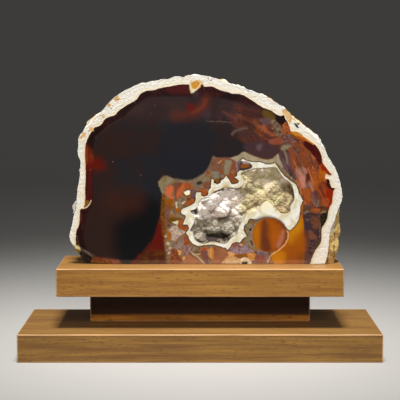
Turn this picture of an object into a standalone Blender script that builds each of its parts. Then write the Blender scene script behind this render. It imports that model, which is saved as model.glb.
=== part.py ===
"""A sawn and polished agate geode that rests on a stand of two wooden boards and a neck.

Metres, +Z up. The origin is the middle of the base board's underside. The polished face looks
along -Y and the stand's length runs along X. The stone rests on the stand by its weight alone.
"""
import math
import random

import bmesh
import bpy
import numpy as np
from mathutils import Vector, noise
from mathutils.geometry import delaunay_2d_cdt

MM = 0.001
GAP = 0.3 * MM  # between two pieces that touch

# The stand: two boards of one thickness, and the block between them
BOARD_THICKNESS = 20 * MM
BASE_LENGTH, BASE_DEPTH = 255 * MM, 102 * MM
TOP_LENGTH, TOP_DEPTH = 203 * MM, 70 * MM
NECK_LENGTH, NECK_DEPTH, NECK_HEIGHT = 160 * MM, 28 * MM, 23.7 * MM
NECK_FRONT_Y = -4 * MM  # the neck is set back, so that it stands under the stone's weight
EDGE_BEVEL = 0.8 * MM
BEVEL_SEGMENTS = 2
STAND_HEIGHT = 2 * BOARD_THICKNESS + NECK_HEIGHT

# The stone: its polished face, and how far the natural nodule goes back behind it
FACE_Y = -12 * MM
NODULE_DEPTH = 53 * MM
CENTRE = (5.0, 45.0)  # in mm, what the rings of the nodule are measured round
POLE_RISE = 8.0  # in mm, how far the nodule's back stands above that centre
BACK_SQUARENESS, RIM_SQUARENESS = 2.4, 2.2  # 2 would make the nodule an ellipsoid
GRID_CELLS = 46
RING_SPREAD = 1.15  # above 1, the rings crowd together near the face
FACE_TO_BODY = 7.0  # in mm, the depth over which the cut face's outline turns into the nodule's
SOFT_DEPTH, SOFT_SPAN = 30.0, 0.55  # in mm and radians, how the outline's bumps fade behind it
SOFT_SAMPLES = 15

# Outlines in mm: x from the stand's middle, z above the flat that the stone stands on.
# ARCH runs from low on the left, over the top, to half-way down the right. The face and the
# nodule behind it share it. Their lower parts differ by a chip on the left and a bulge on the
# right, and both run on below the flat, which is cut later.
ARCH = [
    (-93.7, 19.2), (-92.2, 27.2), (-90.8, 33.7), (-88.4, 41.6), (-88.3, 48.1), (-87.6, 54.5),
    (-86.5, 59.6), (-86.0, 65.4), (-85.4, 73.3), (-87.2, 79.1), (-87.0, 85.5), (-86.1, 92.0),
    (-82.2, 96.7), (-77.1, 102.1), (-74.2, 105.4), (-69.5, 110.0), (-64.9, 116.2),
    (-57.6, 121.9), (-50.4, 125.9), (-43.2, 129.1), (-36.0, 130.2), (-27.4, 132.4),
    (-23.1, 132.2), (-17.3, 134.5), (-12.2, 133.8), (-7.9, 135.1), (2.2, 135.1),
    (10.8, 133.1), (20.2, 129.5), (31.0, 126.3), (40.4, 122.6), (49.0, 119.0), (57.6, 113.6),
    (64.1, 108.6), (65.6, 105.3), (71.3, 100.7), (80.7, 92.4), (87.2, 85.5), (91.5, 77.6),
    (96.6, 69.0), (99.8, 61.0), (101.6, 52.4), (101.6, 45.9),
]
FACE_FOOT = [
    (98.0, 36.5), (96.6, 31.5), (93.3, 22.8), (92.2, 9.9), (90.0, 0.0), (86.0, -10.0),
    (60.0, -20.0), (10.0, -24.0), (-40.0, -18.0), (-62.0, -6.0), (-63.4, 1.9), (-72.8, 3.0),
    (-79.3, 5.9), (-85.8, 9.9), (-90.1, 12.0),
]
BODY_FOOT = [
    (101.6, 37.3), (102.0, 31.5), (101.5, 24.3), (101.2, 14.9), (100.2, 7.0), (98.0, 2.3),
    (94.0, -6.0), (70.0, -18.0), (10.0, -26.0), (-50.0, -22.0), (-78.0, -8.0), (-85.8, 1.2),
    (-88.3, 4.5), (-92.2, 8.4), (-93.7, 13.5),
]

# The rough skin: rounded lumps, ledges and small pits, in mm
LUMP_SIZE, LUMP_HEIGHT = 19.0, 3.4
LEDGE_SIZE, LEDGE_HEIGHT, LEDGES, LEDGE_STEEPNESS = 42.0, 7.0, 4, 4
PIT_SIZE, PIT_DEPTH, PIT_SPARSENESS = 8.5, 4.0, 0.15
SKIN_RAMP = 11.0  # the skin is full height this far behind the face
SKIN_DRAWN_IN = 2.2  # so that the lumps don't show round the face from in front

# The hollow's mouth in the face, in the same mm, clockwise from the left
POCKET_MOUTH = [
    (-6.8, 38.3), (-2.9, 40.1), (0.0, 46.6), (5.0, 48.4), (9.4, 51.7), (13.7, 53.8),
    (18.7, 55.6), (25.9, 54.9), (29.5, 56.0), (31.0, 59.6), (29.2, 65.4), (33.1, 67.2),
    (38.9, 69.0), (46.8, 69.5), (54.0, 69.7), (56.2, 67.5), (59.8, 62.5), (65.6, 57.4),
    (67.7, 47.3), (64.9, 41.9), (64.9, 37.6), (62.0, 35.8), (55.5, 36.9), (51.9, 41.6),
    (47.6, 44.8), (44.0, 42.7), (41.1, 38.7), (34.6, 36.5), (31.7, 32.2), (28.1, 26.4),
    (26.7, 21.4), (21.6, 18.2), (19.1, 14.9), (14.4, 14.9), (9.4, 16.4), (2.2, 14.6),
    (-3.6, 17.4), (-5.4, 22.8), (-7.2, 24.3), (-4.0, 30.8), (-4.0, 34.4),
]
POCKET_LIP, POCKET_DEPTH = 2.5, 18.0  # in mm, at the mouth's edge and in the middle
POCKET_CURVE = 5.5  # in mm from the edge, over which the hollow deepens
POCKET_RIPPLE, RIPPLE_SIZE = 1.3, 14.0
CUTTER_REACH = 5.0  # in mm, how far the cutter stands out of the face

# The crystals that line the hollow, in mm
CRYSTAL_SPACING = 3.6
CRYSTAL_JITTER = 0.28  # of the spacing
EDGE_MARGIN = 2.0  # no crystal's corner is nearer to the mouth's edge
CRUST_CLEARANCE = 0.8  # behind the crust, along Y, which leaves GAP square to the steep wall
CRUST_RIM_INSET = 0.45
CRUST_THICKNESS, CRUST_CLUMPS, CLUMP_SIZE, CLUMP_SEED = 3.2, 1.4, 9.0, 50.0
CRUST_RIM_FRONT = 0.7  # how far the crust's rim stays behind the face
CRYSTAL_HEIGHT_RANGE = (0.9, 2.7)
TIP_BEHIND_FACE = 0.5
CRYSTAL_SEED = 11

# Colour, roughness and metallic of each piece
FINISHES = {
    "agate_geode": ((0.16, 0.075, 0.045), 0.25, 0.0),
    "crystal_crust": ((0.62, 0.53, 0.42), 0.2, 0.0),
    "top_plank": ((0.34, 0.19, 0.075), 0.5, 0.0),
    "neck_block": ((0.22, 0.12, 0.05), 0.55, 0.0),
    "base_plank": ((0.30, 0.17, 0.07), 0.5, 0.0),
}


def clear_scene():
    for item in list(bpy.data.objects):
        bpy.data.objects.remove(item, do_unlink=True)


def add_object(name, mesh_builder, location=(0.0, 0.0, 0.0)):
    """An object of this name from a bmesh, with its own material."""
    mesh = bpy.data.meshes.new(name)
    mesh_builder.to_mesh(mesh)
    mesh_builder.free()
    item = bpy.data.objects.new(name, mesh)
    item.location = location
    bpy.context.collection.objects.link(item)
    if name in FINISHES:
        mesh.materials.append(make_material(name, *FINISHES[name]))
    return item


def make_material(name, colour, roughness, metallic):
    material = bpy.data.materials.new(name)
    material.use_nodes = True
    shader = material.node_tree.nodes["Principled BSDF"]
    shader.inputs["Base Color"].default_value = (*colour, 1.0)
    shader.inputs["Roughness"].default_value = roughness
    shader.inputs["Metallic"].default_value = metallic
    material.diffuse_color = (*colour, 1.0)
    return material


def smooth_loop(points, steps):
    """A closed curve through the points, with this many parts from each to the next."""
    loop = []
    count = len(points)
    for i in range(count):
        before, here, after, beyond = (Vector(points[(i + k) % count]) for k in (-1, 0, 1, 2))
        for step in range(steps):
            t = step / steps
            bend = (2 * before - 5 * here + 4 * after - beyond) * t * t
            twist = (3 * here - 3 * after + beyond - before) * t * t * t
            loop.append(0.5 * (2 * here + (after - before) * t + bend + twist))
    return loop


class PolarOutline:
    """A closed outline as its radius round CENTRE at any angle."""

    def __init__(self, points):
        loop = np.array([tuple(p) for p in smooth_loop(points, 6)]) - np.array(CENTRE)
        angles = np.arctan2(loop[:, 1], loop[:, 0])
        order = np.argsort(angles)
        self.angles = angles[order]
        self.radii = np.hypot(loop[order, 0], loop[order, 1])

    def radius(self, angle):
        return np.interp(angle, self.angles, self.radii, period=2 * math.pi)

    def soft_radius(self, angle):
        """The radius without the outline's small bumps."""
        spread = np.linspace(-SOFT_SPAN, SOFT_SPAN, SOFT_SAMPLES)
        return self.radius(angle + spread).mean()


def ramp(value):
    """0 below 0, 1 above 1, and smooth between."""
    value = min(max(value, 0.0), 1.0)
    return value * value * (3 - 2 * value)


def skin_relief(point):
    """How far the nodule's rough skin stands out at a point in mm."""
    lumps = noise.fractal(point / LUMP_SIZE, 1.0, 2.0, 2)
    level = (noise.noise(point / LEDGE_SIZE) + 0.5) * LEDGES
    step = ramp((level % 1.0 - 0.5) * LEDGE_STEEPNESS + 0.5)
    ledge = (math.floor(level) + step) / LEDGES - 0.5
    pits = min(noise.noise(point / PIT_SIZE) + PIT_SPARSENESS, 0.0)
    return LUMP_HEIGHT * lumps + LEDGE_HEIGHT * ledge + PIT_DEPTH * pits - SKIN_DRAWN_IN


def nodule_point(angle, back, face, body):
    """The nodule's surface in mm, at an angle round CENTRE and from 0 at the face to 1 at
    the middle of the back."""
    turn = back**RING_SPREAD * math.pi / 2
    depth = NODULE_DEPTH / MM * math.sin(turn) ** (2 / BACK_SQUARENESS)
    shrink = max(math.cos(turn), 0.0) ** (2 / RIM_SQUARENESS)
    blend = ramp(depth / FACE_TO_BODY)
    radius = face.radius(angle) * (1 - blend) + body.radius(angle) * blend
    radius += (body.soft_radius(angle) - radius) * ramp(depth / SOFT_DEPTH)
    point = Vector((
        CENTRE[0] + radius * shrink * math.cos(angle),
        depth,
        CENTRE[1] + POLE_RISE * (1 - shrink) + radius * shrink * math.sin(angle),
    ))
    outward = (point - Vector((CENTRE[0], 0, CENTRE[1]))).normalized()
    return point + outward * skin_relief(point) * ramp(depth / SKIN_RAMP)


def build_nodule():
    """The whole stone without its hollow. It starts as a square grid whose edge becomes the
    face's outline, and whose middle becomes the middle of the back."""
    face, body = PolarOutline(ARCH + FACE_FOOT), PolarOutline(ARCH + BODY_FOOT)
    bm = bmesh.new()
    bmesh.ops.create_grid(bm, x_segments=GRID_CELLS, y_segments=GRID_CELLS, size=1)
    bmesh.ops.holes_fill(bm, edges=[e for e in bm.edges if e.is_boundary], sides=0)
    for vert in bm.verts:
        x, z = vert.co.x, vert.co.y
        round_x, round_z = x * math.sqrt(1 - z * z / 2), z * math.sqrt(1 - x * x / 2)
        back = 1 - min(round(math.hypot(round_x, round_z), 6), 1.0)
        vert.co = nodule_point(math.atan2(round_z, round_x), back, face, body) * MM
    bmesh.ops.bisect_plane(
        bm,
        geom=bm.verts[:] + bm.edges[:] + bm.faces[:],
        plane_co=(0, 0, 0),
        plane_no=(0, 0, 1),
        clear_inner=True,
    )
    bmesh.ops.holes_fill(bm, edges=[e for e in bm.edges if e.is_boundary], sides=0)
    bmesh.ops.recalc_face_normals(bm, faces=bm.faces[:])
    return bm


def edge_distance(point, loop):
    """The distance from a point to a closed outline, both in mm."""
    best = math.inf
    for start, end in zip(loop, loop[1:] + loop[:1]):
        along = end - start
        t = min(max((point - start).dot(along) / along.length_squared, 0.0), 1.0)
        best = min(best, (start + along * t - point).length)
    return best


def is_inside(point, loop):
    inside = False
    for start, end in zip(loop, loop[1:] + loop[:1]):
        if (start.y > point.y) != (end.y > point.y):
            crossing = start.x + (point.y - start.y) / (end.y - start.y) * (end.x - start.x)
            inside ^= crossing > point.x
    return inside


def pocket_points(loop):
    """Points spread evenly and a little unevenly inside the mouth, clear of its edge."""
    pick = random.Random(CRYSTAL_SEED)
    low = Vector((min(p.x for p in loop), min(p.y for p in loop)))
    high = Vector((max(p.x for p in loop), max(p.y for p in loop)))
    row_height = CRYSTAL_SPACING * math.sqrt(3) / 2
    shake = CRYSTAL_JITTER * CRYSTAL_SPACING
    points = []
    for row in range(int((high.y - low.y) / row_height) + 1):
        for column in range(int((high.x - low.x) / CRYSTAL_SPACING) + 1):
            point = Vector((
                low.x + (column + 0.5 * (row % 2)) * CRYSTAL_SPACING + pick.uniform(-shake, shake),
                low.y + row * row_height + pick.uniform(-shake, shake),
            ))
            if is_inside(point, loop) and edge_distance(point, loop) > EDGE_MARGIN:
                points.append(point)
    return points


def pocket_depth(point, wall):
    """The hollow's depth in mm, at a point this far from the mouth's edge."""
    slope = 1 - math.exp(-wall / POCKET_CURVE)
    ripple = POCKET_RIPPLE * noise.noise(Vector((point.x, 0, point.y)) / RIPPLE_SIZE)
    return POCKET_LIP + (POCKET_DEPTH - POCKET_LIP + ripple) * slope


def pocket_surface(loop, inner):
    """A bmesh of triangles over the mouth, flat at y 0, from its outline and inner points."""
    edge_pairs = [(i, (i + 1) % len(loop)) for i in range(len(loop))]
    found = delaunay_2d_cdt(loop + inner, edge_pairs, [list(range(len(loop)))], 1, 1e-5)
    bm = bmesh.new()
    verts = [bm.verts.new((p.x, 0, p.y)) for p in found[0]]
    for face in found[2]:
        bm.faces.new([verts[i] for i in face])
    bmesh.ops.recalc_face_normals(bm, faces=bm.faces[:])
    return bm


def spot(vert):
    """A vertex's place in the face, which its copy in an extrusion shares."""
    return round(vert.co.x, 4), round(vert.co.z, 4)


def thicken(bm, back_depths, front_depths):
    """Makes the flat surface a closed solid between two depths, both given by spot, and
    returns the vertices of its front."""
    back = bm.verts[:]
    grown = bmesh.ops.extrude_face_region(bm, geom=bm.faces[:])["geom"]
    front = [g for g in grown if isinstance(g, bmesh.types.BMVert)]
    for vert in back:
        vert.co.y = back_depths[spot(vert)]
    for vert in front:
        vert.co.y = front_depths[spot(vert)]
    bmesh.ops.recalc_face_normals(bm, faces=bm.faces[:])
    return front


def build_pocket_cutter():
    """What is cut out of the stone for the hollow, in the stone's own place."""
    loop = smooth_loop(POCKET_MOUTH, 2)
    bm = pocket_surface(loop, pocket_points(loop))
    depths, reach = {}, {}
    for vert in bm.verts:
        point = Vector((vert.co.x, vert.co.z))
        depths[spot(vert)] = pocket_depth(point, edge_distance(point, loop))
        reach[spot(vert)] = -CUTTER_REACH
    thicken(bm, depths, reach)
    bmesh.ops.scale(bm, vec=(MM, MM, MM), verts=bm.verts[:])
    return bm


def inset_loop(loop, inset):
    """The outline drawn in by a distance, for a small inset."""
    drawn = []
    for i, point in enumerate(loop):
        along = (loop[(i + 1) % len(loop)] - loop[i - 1]).normalized()
        inward = Vector((along.y, -along.x))
        if not is_inside(point + inward * inset, loop):
            inward = -inward
        drawn.append(point + inward * inset)
    return drawn


def build_crystal_crust():
    """The lining of the hollow: a closed crust whose front is a mass of pointed crystals."""
    loop = smooth_loop(POCKET_MOUTH, 2)
    rim = inset_loop(loop, CRUST_RIM_INSET)
    bm = pocket_surface(rim, pocket_points(loop))
    backs, fronts = {}, {}
    for vert in bm.verts:
        point = Vector((vert.co.x, vert.co.z))
        clump = CRUST_CLUMPS * noise.noise(Vector((point.x, CLUMP_SEED, point.y)) / CLUMP_SIZE)
        on_rim = any(e.is_boundary for e in vert.link_edges)
        wall = 0.0 if on_rim else edge_distance(point, loop)
        back = pocket_depth(point, wall) - CRUST_CLEARANCE
        backs[spot(vert)] = back
        fronts[spot(vert)] = CRUST_RIM_FRONT
        if not on_rim:
            fronts[spot(vert)] = max(back - CRUST_THICKNESS - clump, CRUST_RIM_FRONT)
    front = thicken(bm, backs, fronts)
    grow_crystals(bm, set(front))
    bmesh.ops.scale(bm, vec=(MM, MM, MM), verts=bm.verts[:])
    bmesh.ops.recalc_face_normals(bm, faces=bm.faces[:])
    return bm


def grow_crystals(bm, front):
    """Raises the middle of each front face into a crystal's point."""
    pick = random.Random(CRYSTAL_SEED)
    beds = [f for f in bm.faces if all(v in front for v in f.verts)]
    normals = [f.normal.copy() for f in beds]
    tips = bmesh.ops.poke(bm, faces=beds)["verts"]
    for tip, normal in zip(tips, normals):
        tip.co += normal * pick.uniform(*CRYSTAL_HEIGHT_RANGE)
        tip.co.y = max(tip.co.y, TIP_BEHIND_FACE)


def build_board(length, depth, height):
    """A board with softened edges, centred on its own middle."""
    bm = bmesh.new()
    bmesh.ops.create_cube(bm, size=1)
    bmesh.ops.scale(bm, vec=(length, depth, height), verts=bm.verts[:])
    bmesh.ops.bevel(
        bm,
        geom=bm.edges[:],
        offset=EDGE_BEVEL,
        segments=BEVEL_SEGMENTS,
        profile=0.5,
        affect="EDGES",
        material=-1,
    )
    return bm


def add_stand():
    half = BOARD_THICKNESS / 2
    add_object("base_plank", build_board(BASE_LENGTH, BASE_DEPTH, BOARD_THICKNESS), (0, 0, half))
    neck_height = NECK_HEIGHT - 2 * GAP
    neck_y = NECK_FRONT_Y + NECK_DEPTH / 2
    neck_z = BOARD_THICKNESS + NECK_HEIGHT / 2
    add_object("neck_block", build_board(NECK_LENGTH, NECK_DEPTH, neck_height), (0, neck_y, neck_z))
    top_z = STAND_HEIGHT - half
    add_object("top_plank", build_board(TOP_LENGTH, TOP_DEPTH, BOARD_THICKNESS), (0, 0, top_z))


def add_stone():
    place = (0, FACE_Y, STAND_HEIGHT + GAP)
    stone = add_object("agate_geode", build_nodule(), place)
    cutter = add_object("pocket_cutter", build_pocket_cutter(), place)
    cutter.hide_render = True
    cutter.display_type = "WIRE"
    hollow = stone.modifiers.new("hollow", "BOOLEAN")
    hollow.operation = "DIFFERENCE"
    hollow.solver = "EXACT"
    hollow.object = cutter
    add_object("crystal_crust", build_crystal_crust(), place)


def main():
    clear_scene()
    add_stand()
    add_stone()


main()
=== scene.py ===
"""The looks of a sawn and polished agate geode that rests on a stand of two boards and a neck.

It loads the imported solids, builds the stone, its crystals and every finish, and sets the stage.
Lengths inside the stone are in mm: x from the stand's middle, y back from the polished face and
z up from the flat that the stone stands on.
"""
import math
import random
from dataclasses import dataclass

import bmesh
import bpy
import numpy as np
from mathutils import Euler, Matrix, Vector, noise
from mathutils.geometry import delaunay_2d_cdt


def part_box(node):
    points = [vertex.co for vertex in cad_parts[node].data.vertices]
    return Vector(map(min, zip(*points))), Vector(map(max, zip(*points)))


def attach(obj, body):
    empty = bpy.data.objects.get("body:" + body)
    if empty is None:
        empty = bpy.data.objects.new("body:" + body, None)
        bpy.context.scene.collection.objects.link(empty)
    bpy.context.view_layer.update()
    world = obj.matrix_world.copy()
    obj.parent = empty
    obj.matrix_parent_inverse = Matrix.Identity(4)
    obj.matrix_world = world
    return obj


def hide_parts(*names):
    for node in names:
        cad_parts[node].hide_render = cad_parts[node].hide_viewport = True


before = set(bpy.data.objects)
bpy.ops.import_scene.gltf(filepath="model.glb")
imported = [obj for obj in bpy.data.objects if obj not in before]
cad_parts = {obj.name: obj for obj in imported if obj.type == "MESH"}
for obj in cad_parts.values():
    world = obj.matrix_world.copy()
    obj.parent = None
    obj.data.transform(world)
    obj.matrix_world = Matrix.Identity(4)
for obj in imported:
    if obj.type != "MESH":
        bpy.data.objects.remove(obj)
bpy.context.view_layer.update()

bl_info = {
    "name": "Agate Geode on a Stand",
    "version": (1, 0, 0),
    "blender": (4, 5, 0),
    "location": "3D View > Sidebar > Geode",
    "description": "A polished agate geode with a crystal-lined hollow, on a wooden stand",
    "category": "Add Mesh",
}

MM = 0.001

# Where the stone is: its polished face, and the flat it stands on, as in the solids
FACE_Y = -12 * MM
FLAT_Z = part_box("agate_geode")[0].z

# The nodule's shape, as in the solids
NODULE_DEPTH = 53.0
CENTRE = (5.0, 45.0)
POLE_RISE = 8.0
BACK_SQUARENESS, RIM_SQUARENESS = 2.4, 2.2
RING_SPREAD = 1.15
FACE_TO_BODY = 7.0
SOFT_DEPTH, SOFT_SPAN = 30.0, 0.55
SOFT_SAMPLES = 15
LUMP_SIZE, LUMP_HEIGHT = 19.0, 3.4
LEDGE_SIZE, LEDGE_HEIGHT, LEDGES, LEDGE_STEEPNESS = 42.0, 7.0, 4, 4
PIT_SIZE, PIT_DEPTH, PIT_SPARSENESS = 8.5, 4.0, 0.15
SKIN_RAMP = 11.0
SKIN_DRAWN_IN = 2.2

ARCH = [
    (-93.7, 19.2), (-92.2, 27.2), (-90.8, 33.7), (-88.4, 41.6), (-88.3, 48.1), (-87.6, 54.5),
    (-86.5, 59.6), (-86.0, 65.4), (-85.4, 73.3), (-87.2, 79.1), (-87.0, 85.5), (-86.1, 92.0),
    (-82.2, 96.7), (-77.1, 102.1), (-74.2, 105.4), (-69.5, 110.0), (-64.9, 116.2),
    (-57.6, 121.9), (-50.4, 125.9), (-43.2, 129.1), (-36.0, 130.2), (-27.4, 132.4),
    (-23.1, 132.2), (-17.3, 134.5), (-12.2, 133.8), (-7.9, 135.1), (2.2, 135.1),
    (10.8, 133.1), (20.2, 129.5), (31.0, 126.3), (40.4, 122.6), (49.0, 119.0), (57.6, 113.6),
    (64.1, 108.6), (65.6, 105.3), (71.3, 100.7), (80.7, 92.4), (87.2, 85.5), (91.5, 77.6),
    (96.6, 69.0), (99.8, 61.0), (101.6, 52.4), (101.6, 45.9),
]
FACE_FOOT = [
    (98.0, 36.5), (96.6, 31.5), (93.3, 22.8), (92.2, 9.9), (90.0, 0.0), (86.0, -10.0),
    (60.0, -20.0), (10.0, -24.0), (-40.0, -18.0), (-62.0, -6.0), (-63.4, 1.9), (-72.8, 3.0),
    (-79.3, 5.9), (-85.8, 9.9), (-90.1, 12.0),
]
BODY_FOOT = [
    (101.6, 37.3), (102.0, 31.5), (101.5, 24.3), (101.2, 14.9), (100.2, 7.0), (98.0, 2.3),
    (94.0, -6.0), (70.0, -18.0), (10.0, -26.0), (-50.0, -22.0), (-78.0, -8.0), (-85.8, 1.2),
    (-88.3, 4.5), (-92.2, 8.4), (-93.7, 13.5),
]
POCKET_MOUTH = [
    (-6.8, 38.3), (-2.9, 40.1), (0.0, 46.6), (5.0, 48.4), (9.4, 51.7), (13.7, 53.8),
    (18.7, 55.6), (25.9, 54.9), (29.5, 56.0), (31.0, 59.6), (29.2, 65.4), (33.1, 67.2),
    (38.9, 69.0), (46.8, 69.5), (54.0, 69.7), (56.2, 67.5), (59.8, 62.5), (65.6, 57.4),
    (67.7, 47.3), (64.9, 41.9), (64.9, 37.6), (62.0, 35.8), (55.5, 36.9), (51.9, 41.6),
    (47.6, 44.8), (44.0, 42.7), (41.1, 38.7), (34.6, 36.5), (31.7, 32.2), (28.1, 26.4),
    (26.7, 21.4), (21.6, 18.2), (19.1, 14.9), (14.4, 14.9), (9.4, 16.4), (2.2, 14.6),
    (-3.6, 17.4), (-5.4, 22.8), (-7.2, 24.3), (-4.0, 30.8), (-4.0, 34.4),
]
POCKET_LIP, POCKET_DEPTH, POCKET_CURVE = 2.5, 18.0, 5.5
CUTTER_REACH = 5.0
CUTTER_SPACING, CUTTER_SHAKE, CUTTER_MARGIN, CUTTER_SEED = 3.0, 0.2, 1.2, 3

# How many parts a curve has from one of its points to the next
CURVE_STEPS, RIM_STEPS = 4, 6

# How pixels of the 400 by 400 photograph lie on the polished face
PIXEL = 0.7206  # in mm
FLAT_PX = (200.0, 263.7)  # the middle of the flat that the stone stands on


@dataclass(frozen=True)
class Marking:
    """A marking of the stone: its points are pixels of the photograph, and the rest is in mm."""

    shape: str  # area, outside, line or spots
    name: str
    tints: str  # the swatches that its mottle mixes
    points: str  # x,y pairs; a spot's third number is its radius, in pixels too
    soft: float = 0.35  # half the width of its blurred edge
    ragged: float = 0.3  # how far its edge wanders
    grain: str = "fine"  # the pattern that its edge follows
    mottle: str = "fine"  # the pattern that mixes its swatches
    width: float = 1.0  # of a line
    cover: float = 1.0  # how much it hides of what is under it
    patches: tuple = ()  # a pattern, and from what to what value of it the marking shows
    grow: float = 0.0  # how far it reaches past its points
    rounded: bool = True  # whether its outline curves through its points

    def pixels(self):
        return [tuple(map(float, pair.split(","))) for pair in self.points.split()]

    def reach(self):
        """How far the marking's edge may lie beyond its points, in pixels."""
        radius = max((p[2] for p in self.pixels()), default=0) if self.shape == "spots" else 0
        return radius + SEAM_REACH_PX


# The lower edge of the dark chalcedony's round lobe, and the border of the hollow
LOBE_EDGE = "176,179.8 183,181 190,181 195,179.6 200,177 205,173.5 209,168.5 212,162.5 213.5,157.5"
WHITE_BORDER = (
    "240,160.5 242,158.3 246,160.5 251,161.8 260,162 264,163.5 268,164.5 274.5,162.8 277,166.5 "
    "280,171.5 284,176 289,180 295,183.5 297,188 298,193 300.5,196 302,200 300,206 299,216 "
    "297.5,221 294,226 289.5,230 287,229 284,224 280,220 275,217.5 268,216.3 262,217 257,219 "
    "253,218.5 249,218 247,223 244,225 243,230 247,235.5 243,238 240,242 236,241.5 232,243.5 "
    "228,249.5 225,247.5 218,245.5 213,244.3 208,244.5 203,245 198,246 193,243.5 190,240 "
    "188.5,236 186,233 189,229 189,226 187,224 184.5,224.5 183,225 184,221 186,217 185.5,215 "
    "182,213.5 181,212 182,209 186,207 191,205 195,202 196,198 196,192 201,192 201,195 "
    "204,196.5 208,195.5 209,189.5 211,187 211.5,178 214,180 213.5,182 217,184 220,183 "
    "221,180 224,178 226,175.3 228,178.5 231,183.5 234,184 238,182.5 239,180 234.5,177 "
    "237,176 237,172 239,170.5 246,169 251.5,166 250,163.5"
)
MOSS = (
    "162,270 163.5,240 163,228 161,220 162.5,205 162.5,195 160,186 158.5,182 162,178 166,175.5 "
    "171,177.5 " + LOBE_EDGE + " 222,158 230,158 238,155 244,151.5 250,154 256,156.5 "
    "263,158.7 268,159 276,156.5 281,166 296,182 300,192 300,206 299,216 295,225 289,231 "
    "288,240 282,247 271,256 266,270"
)
RIND_INSIDE = (
    "72,252 76,247 76,238 77,230 79,226 80,220 80.8,209 84,207.5 85.7,200 85.7,190 86.5,176 "
    "86.3,165 86,150 87,143 89,138 91,134 94,130 96,127 100,126 104,122.5 105.5,119.5 110,117 "
    "116,115 119,111.5 125,107 130,104 135,101.5 138,99 140,95.5 144,92.5 148,91 155,90.5 "
    "160,88.7 172,86.5 180,85 189,85 192,88 194,91 198,88 201,84.5 204,87 212,87 220,90.5 "
    "228,92.5 232,94 238,94 244,96 252,101 258,105 262,107.5 267,109.3 271,111 275,114 "
    "280,115.8 283,115 284,118 287,123 289,128 290,131 294,131 300,134 304,137.5 310,141 "
    "313,143.5 317,148 320,154 321,159 322,163 325,167 328,171 330.5,174 328.5,175 325,173.5 "
    "324.5,178 328,179 329.5,184 331,187 335,188 333,190 332,196 331.5,202 329,207 327.5,213 "
    "326.5,219 324,224 321.5,228 321,240 319,245 316,249 313,255 310,263.5 306,274 112,274 "
    "88,266 74,258"
)

OUTLINES = {"lobe_edge": LOBE_EDGE, "white_border": WHITE_BORDER, "moss": MOSS}


def read_markings(text):
    """The markings that a text lists, each over the ones before it.

    Each says its shape and name, its swatches, its points or an outline's name, and what isn't as
    usual in a Marking. Indented lines belong to the one above, and # begins a comment.
    """
    markings = []
    for entry in text.strip().replace("\n  ", " ").split("\n"):
        if entry.startswith("#"):
            continue
        about, points, *more = entry.split("; ")
        shape, name, *tints = about.replace(":", "").split()
        looks = {}
        for key, *said in (words.split() for words in ", ".join(more).split(", ") if words):
            said = tuple(float(word) if word[-1].isdigit() else word for word in said)
            looks[key] = said if key == "patches" else said[0]
        markings.append(Marking(shape, name, " ".join(tints), OUTLINES.get(points, points), **looks))
    return markings


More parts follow.
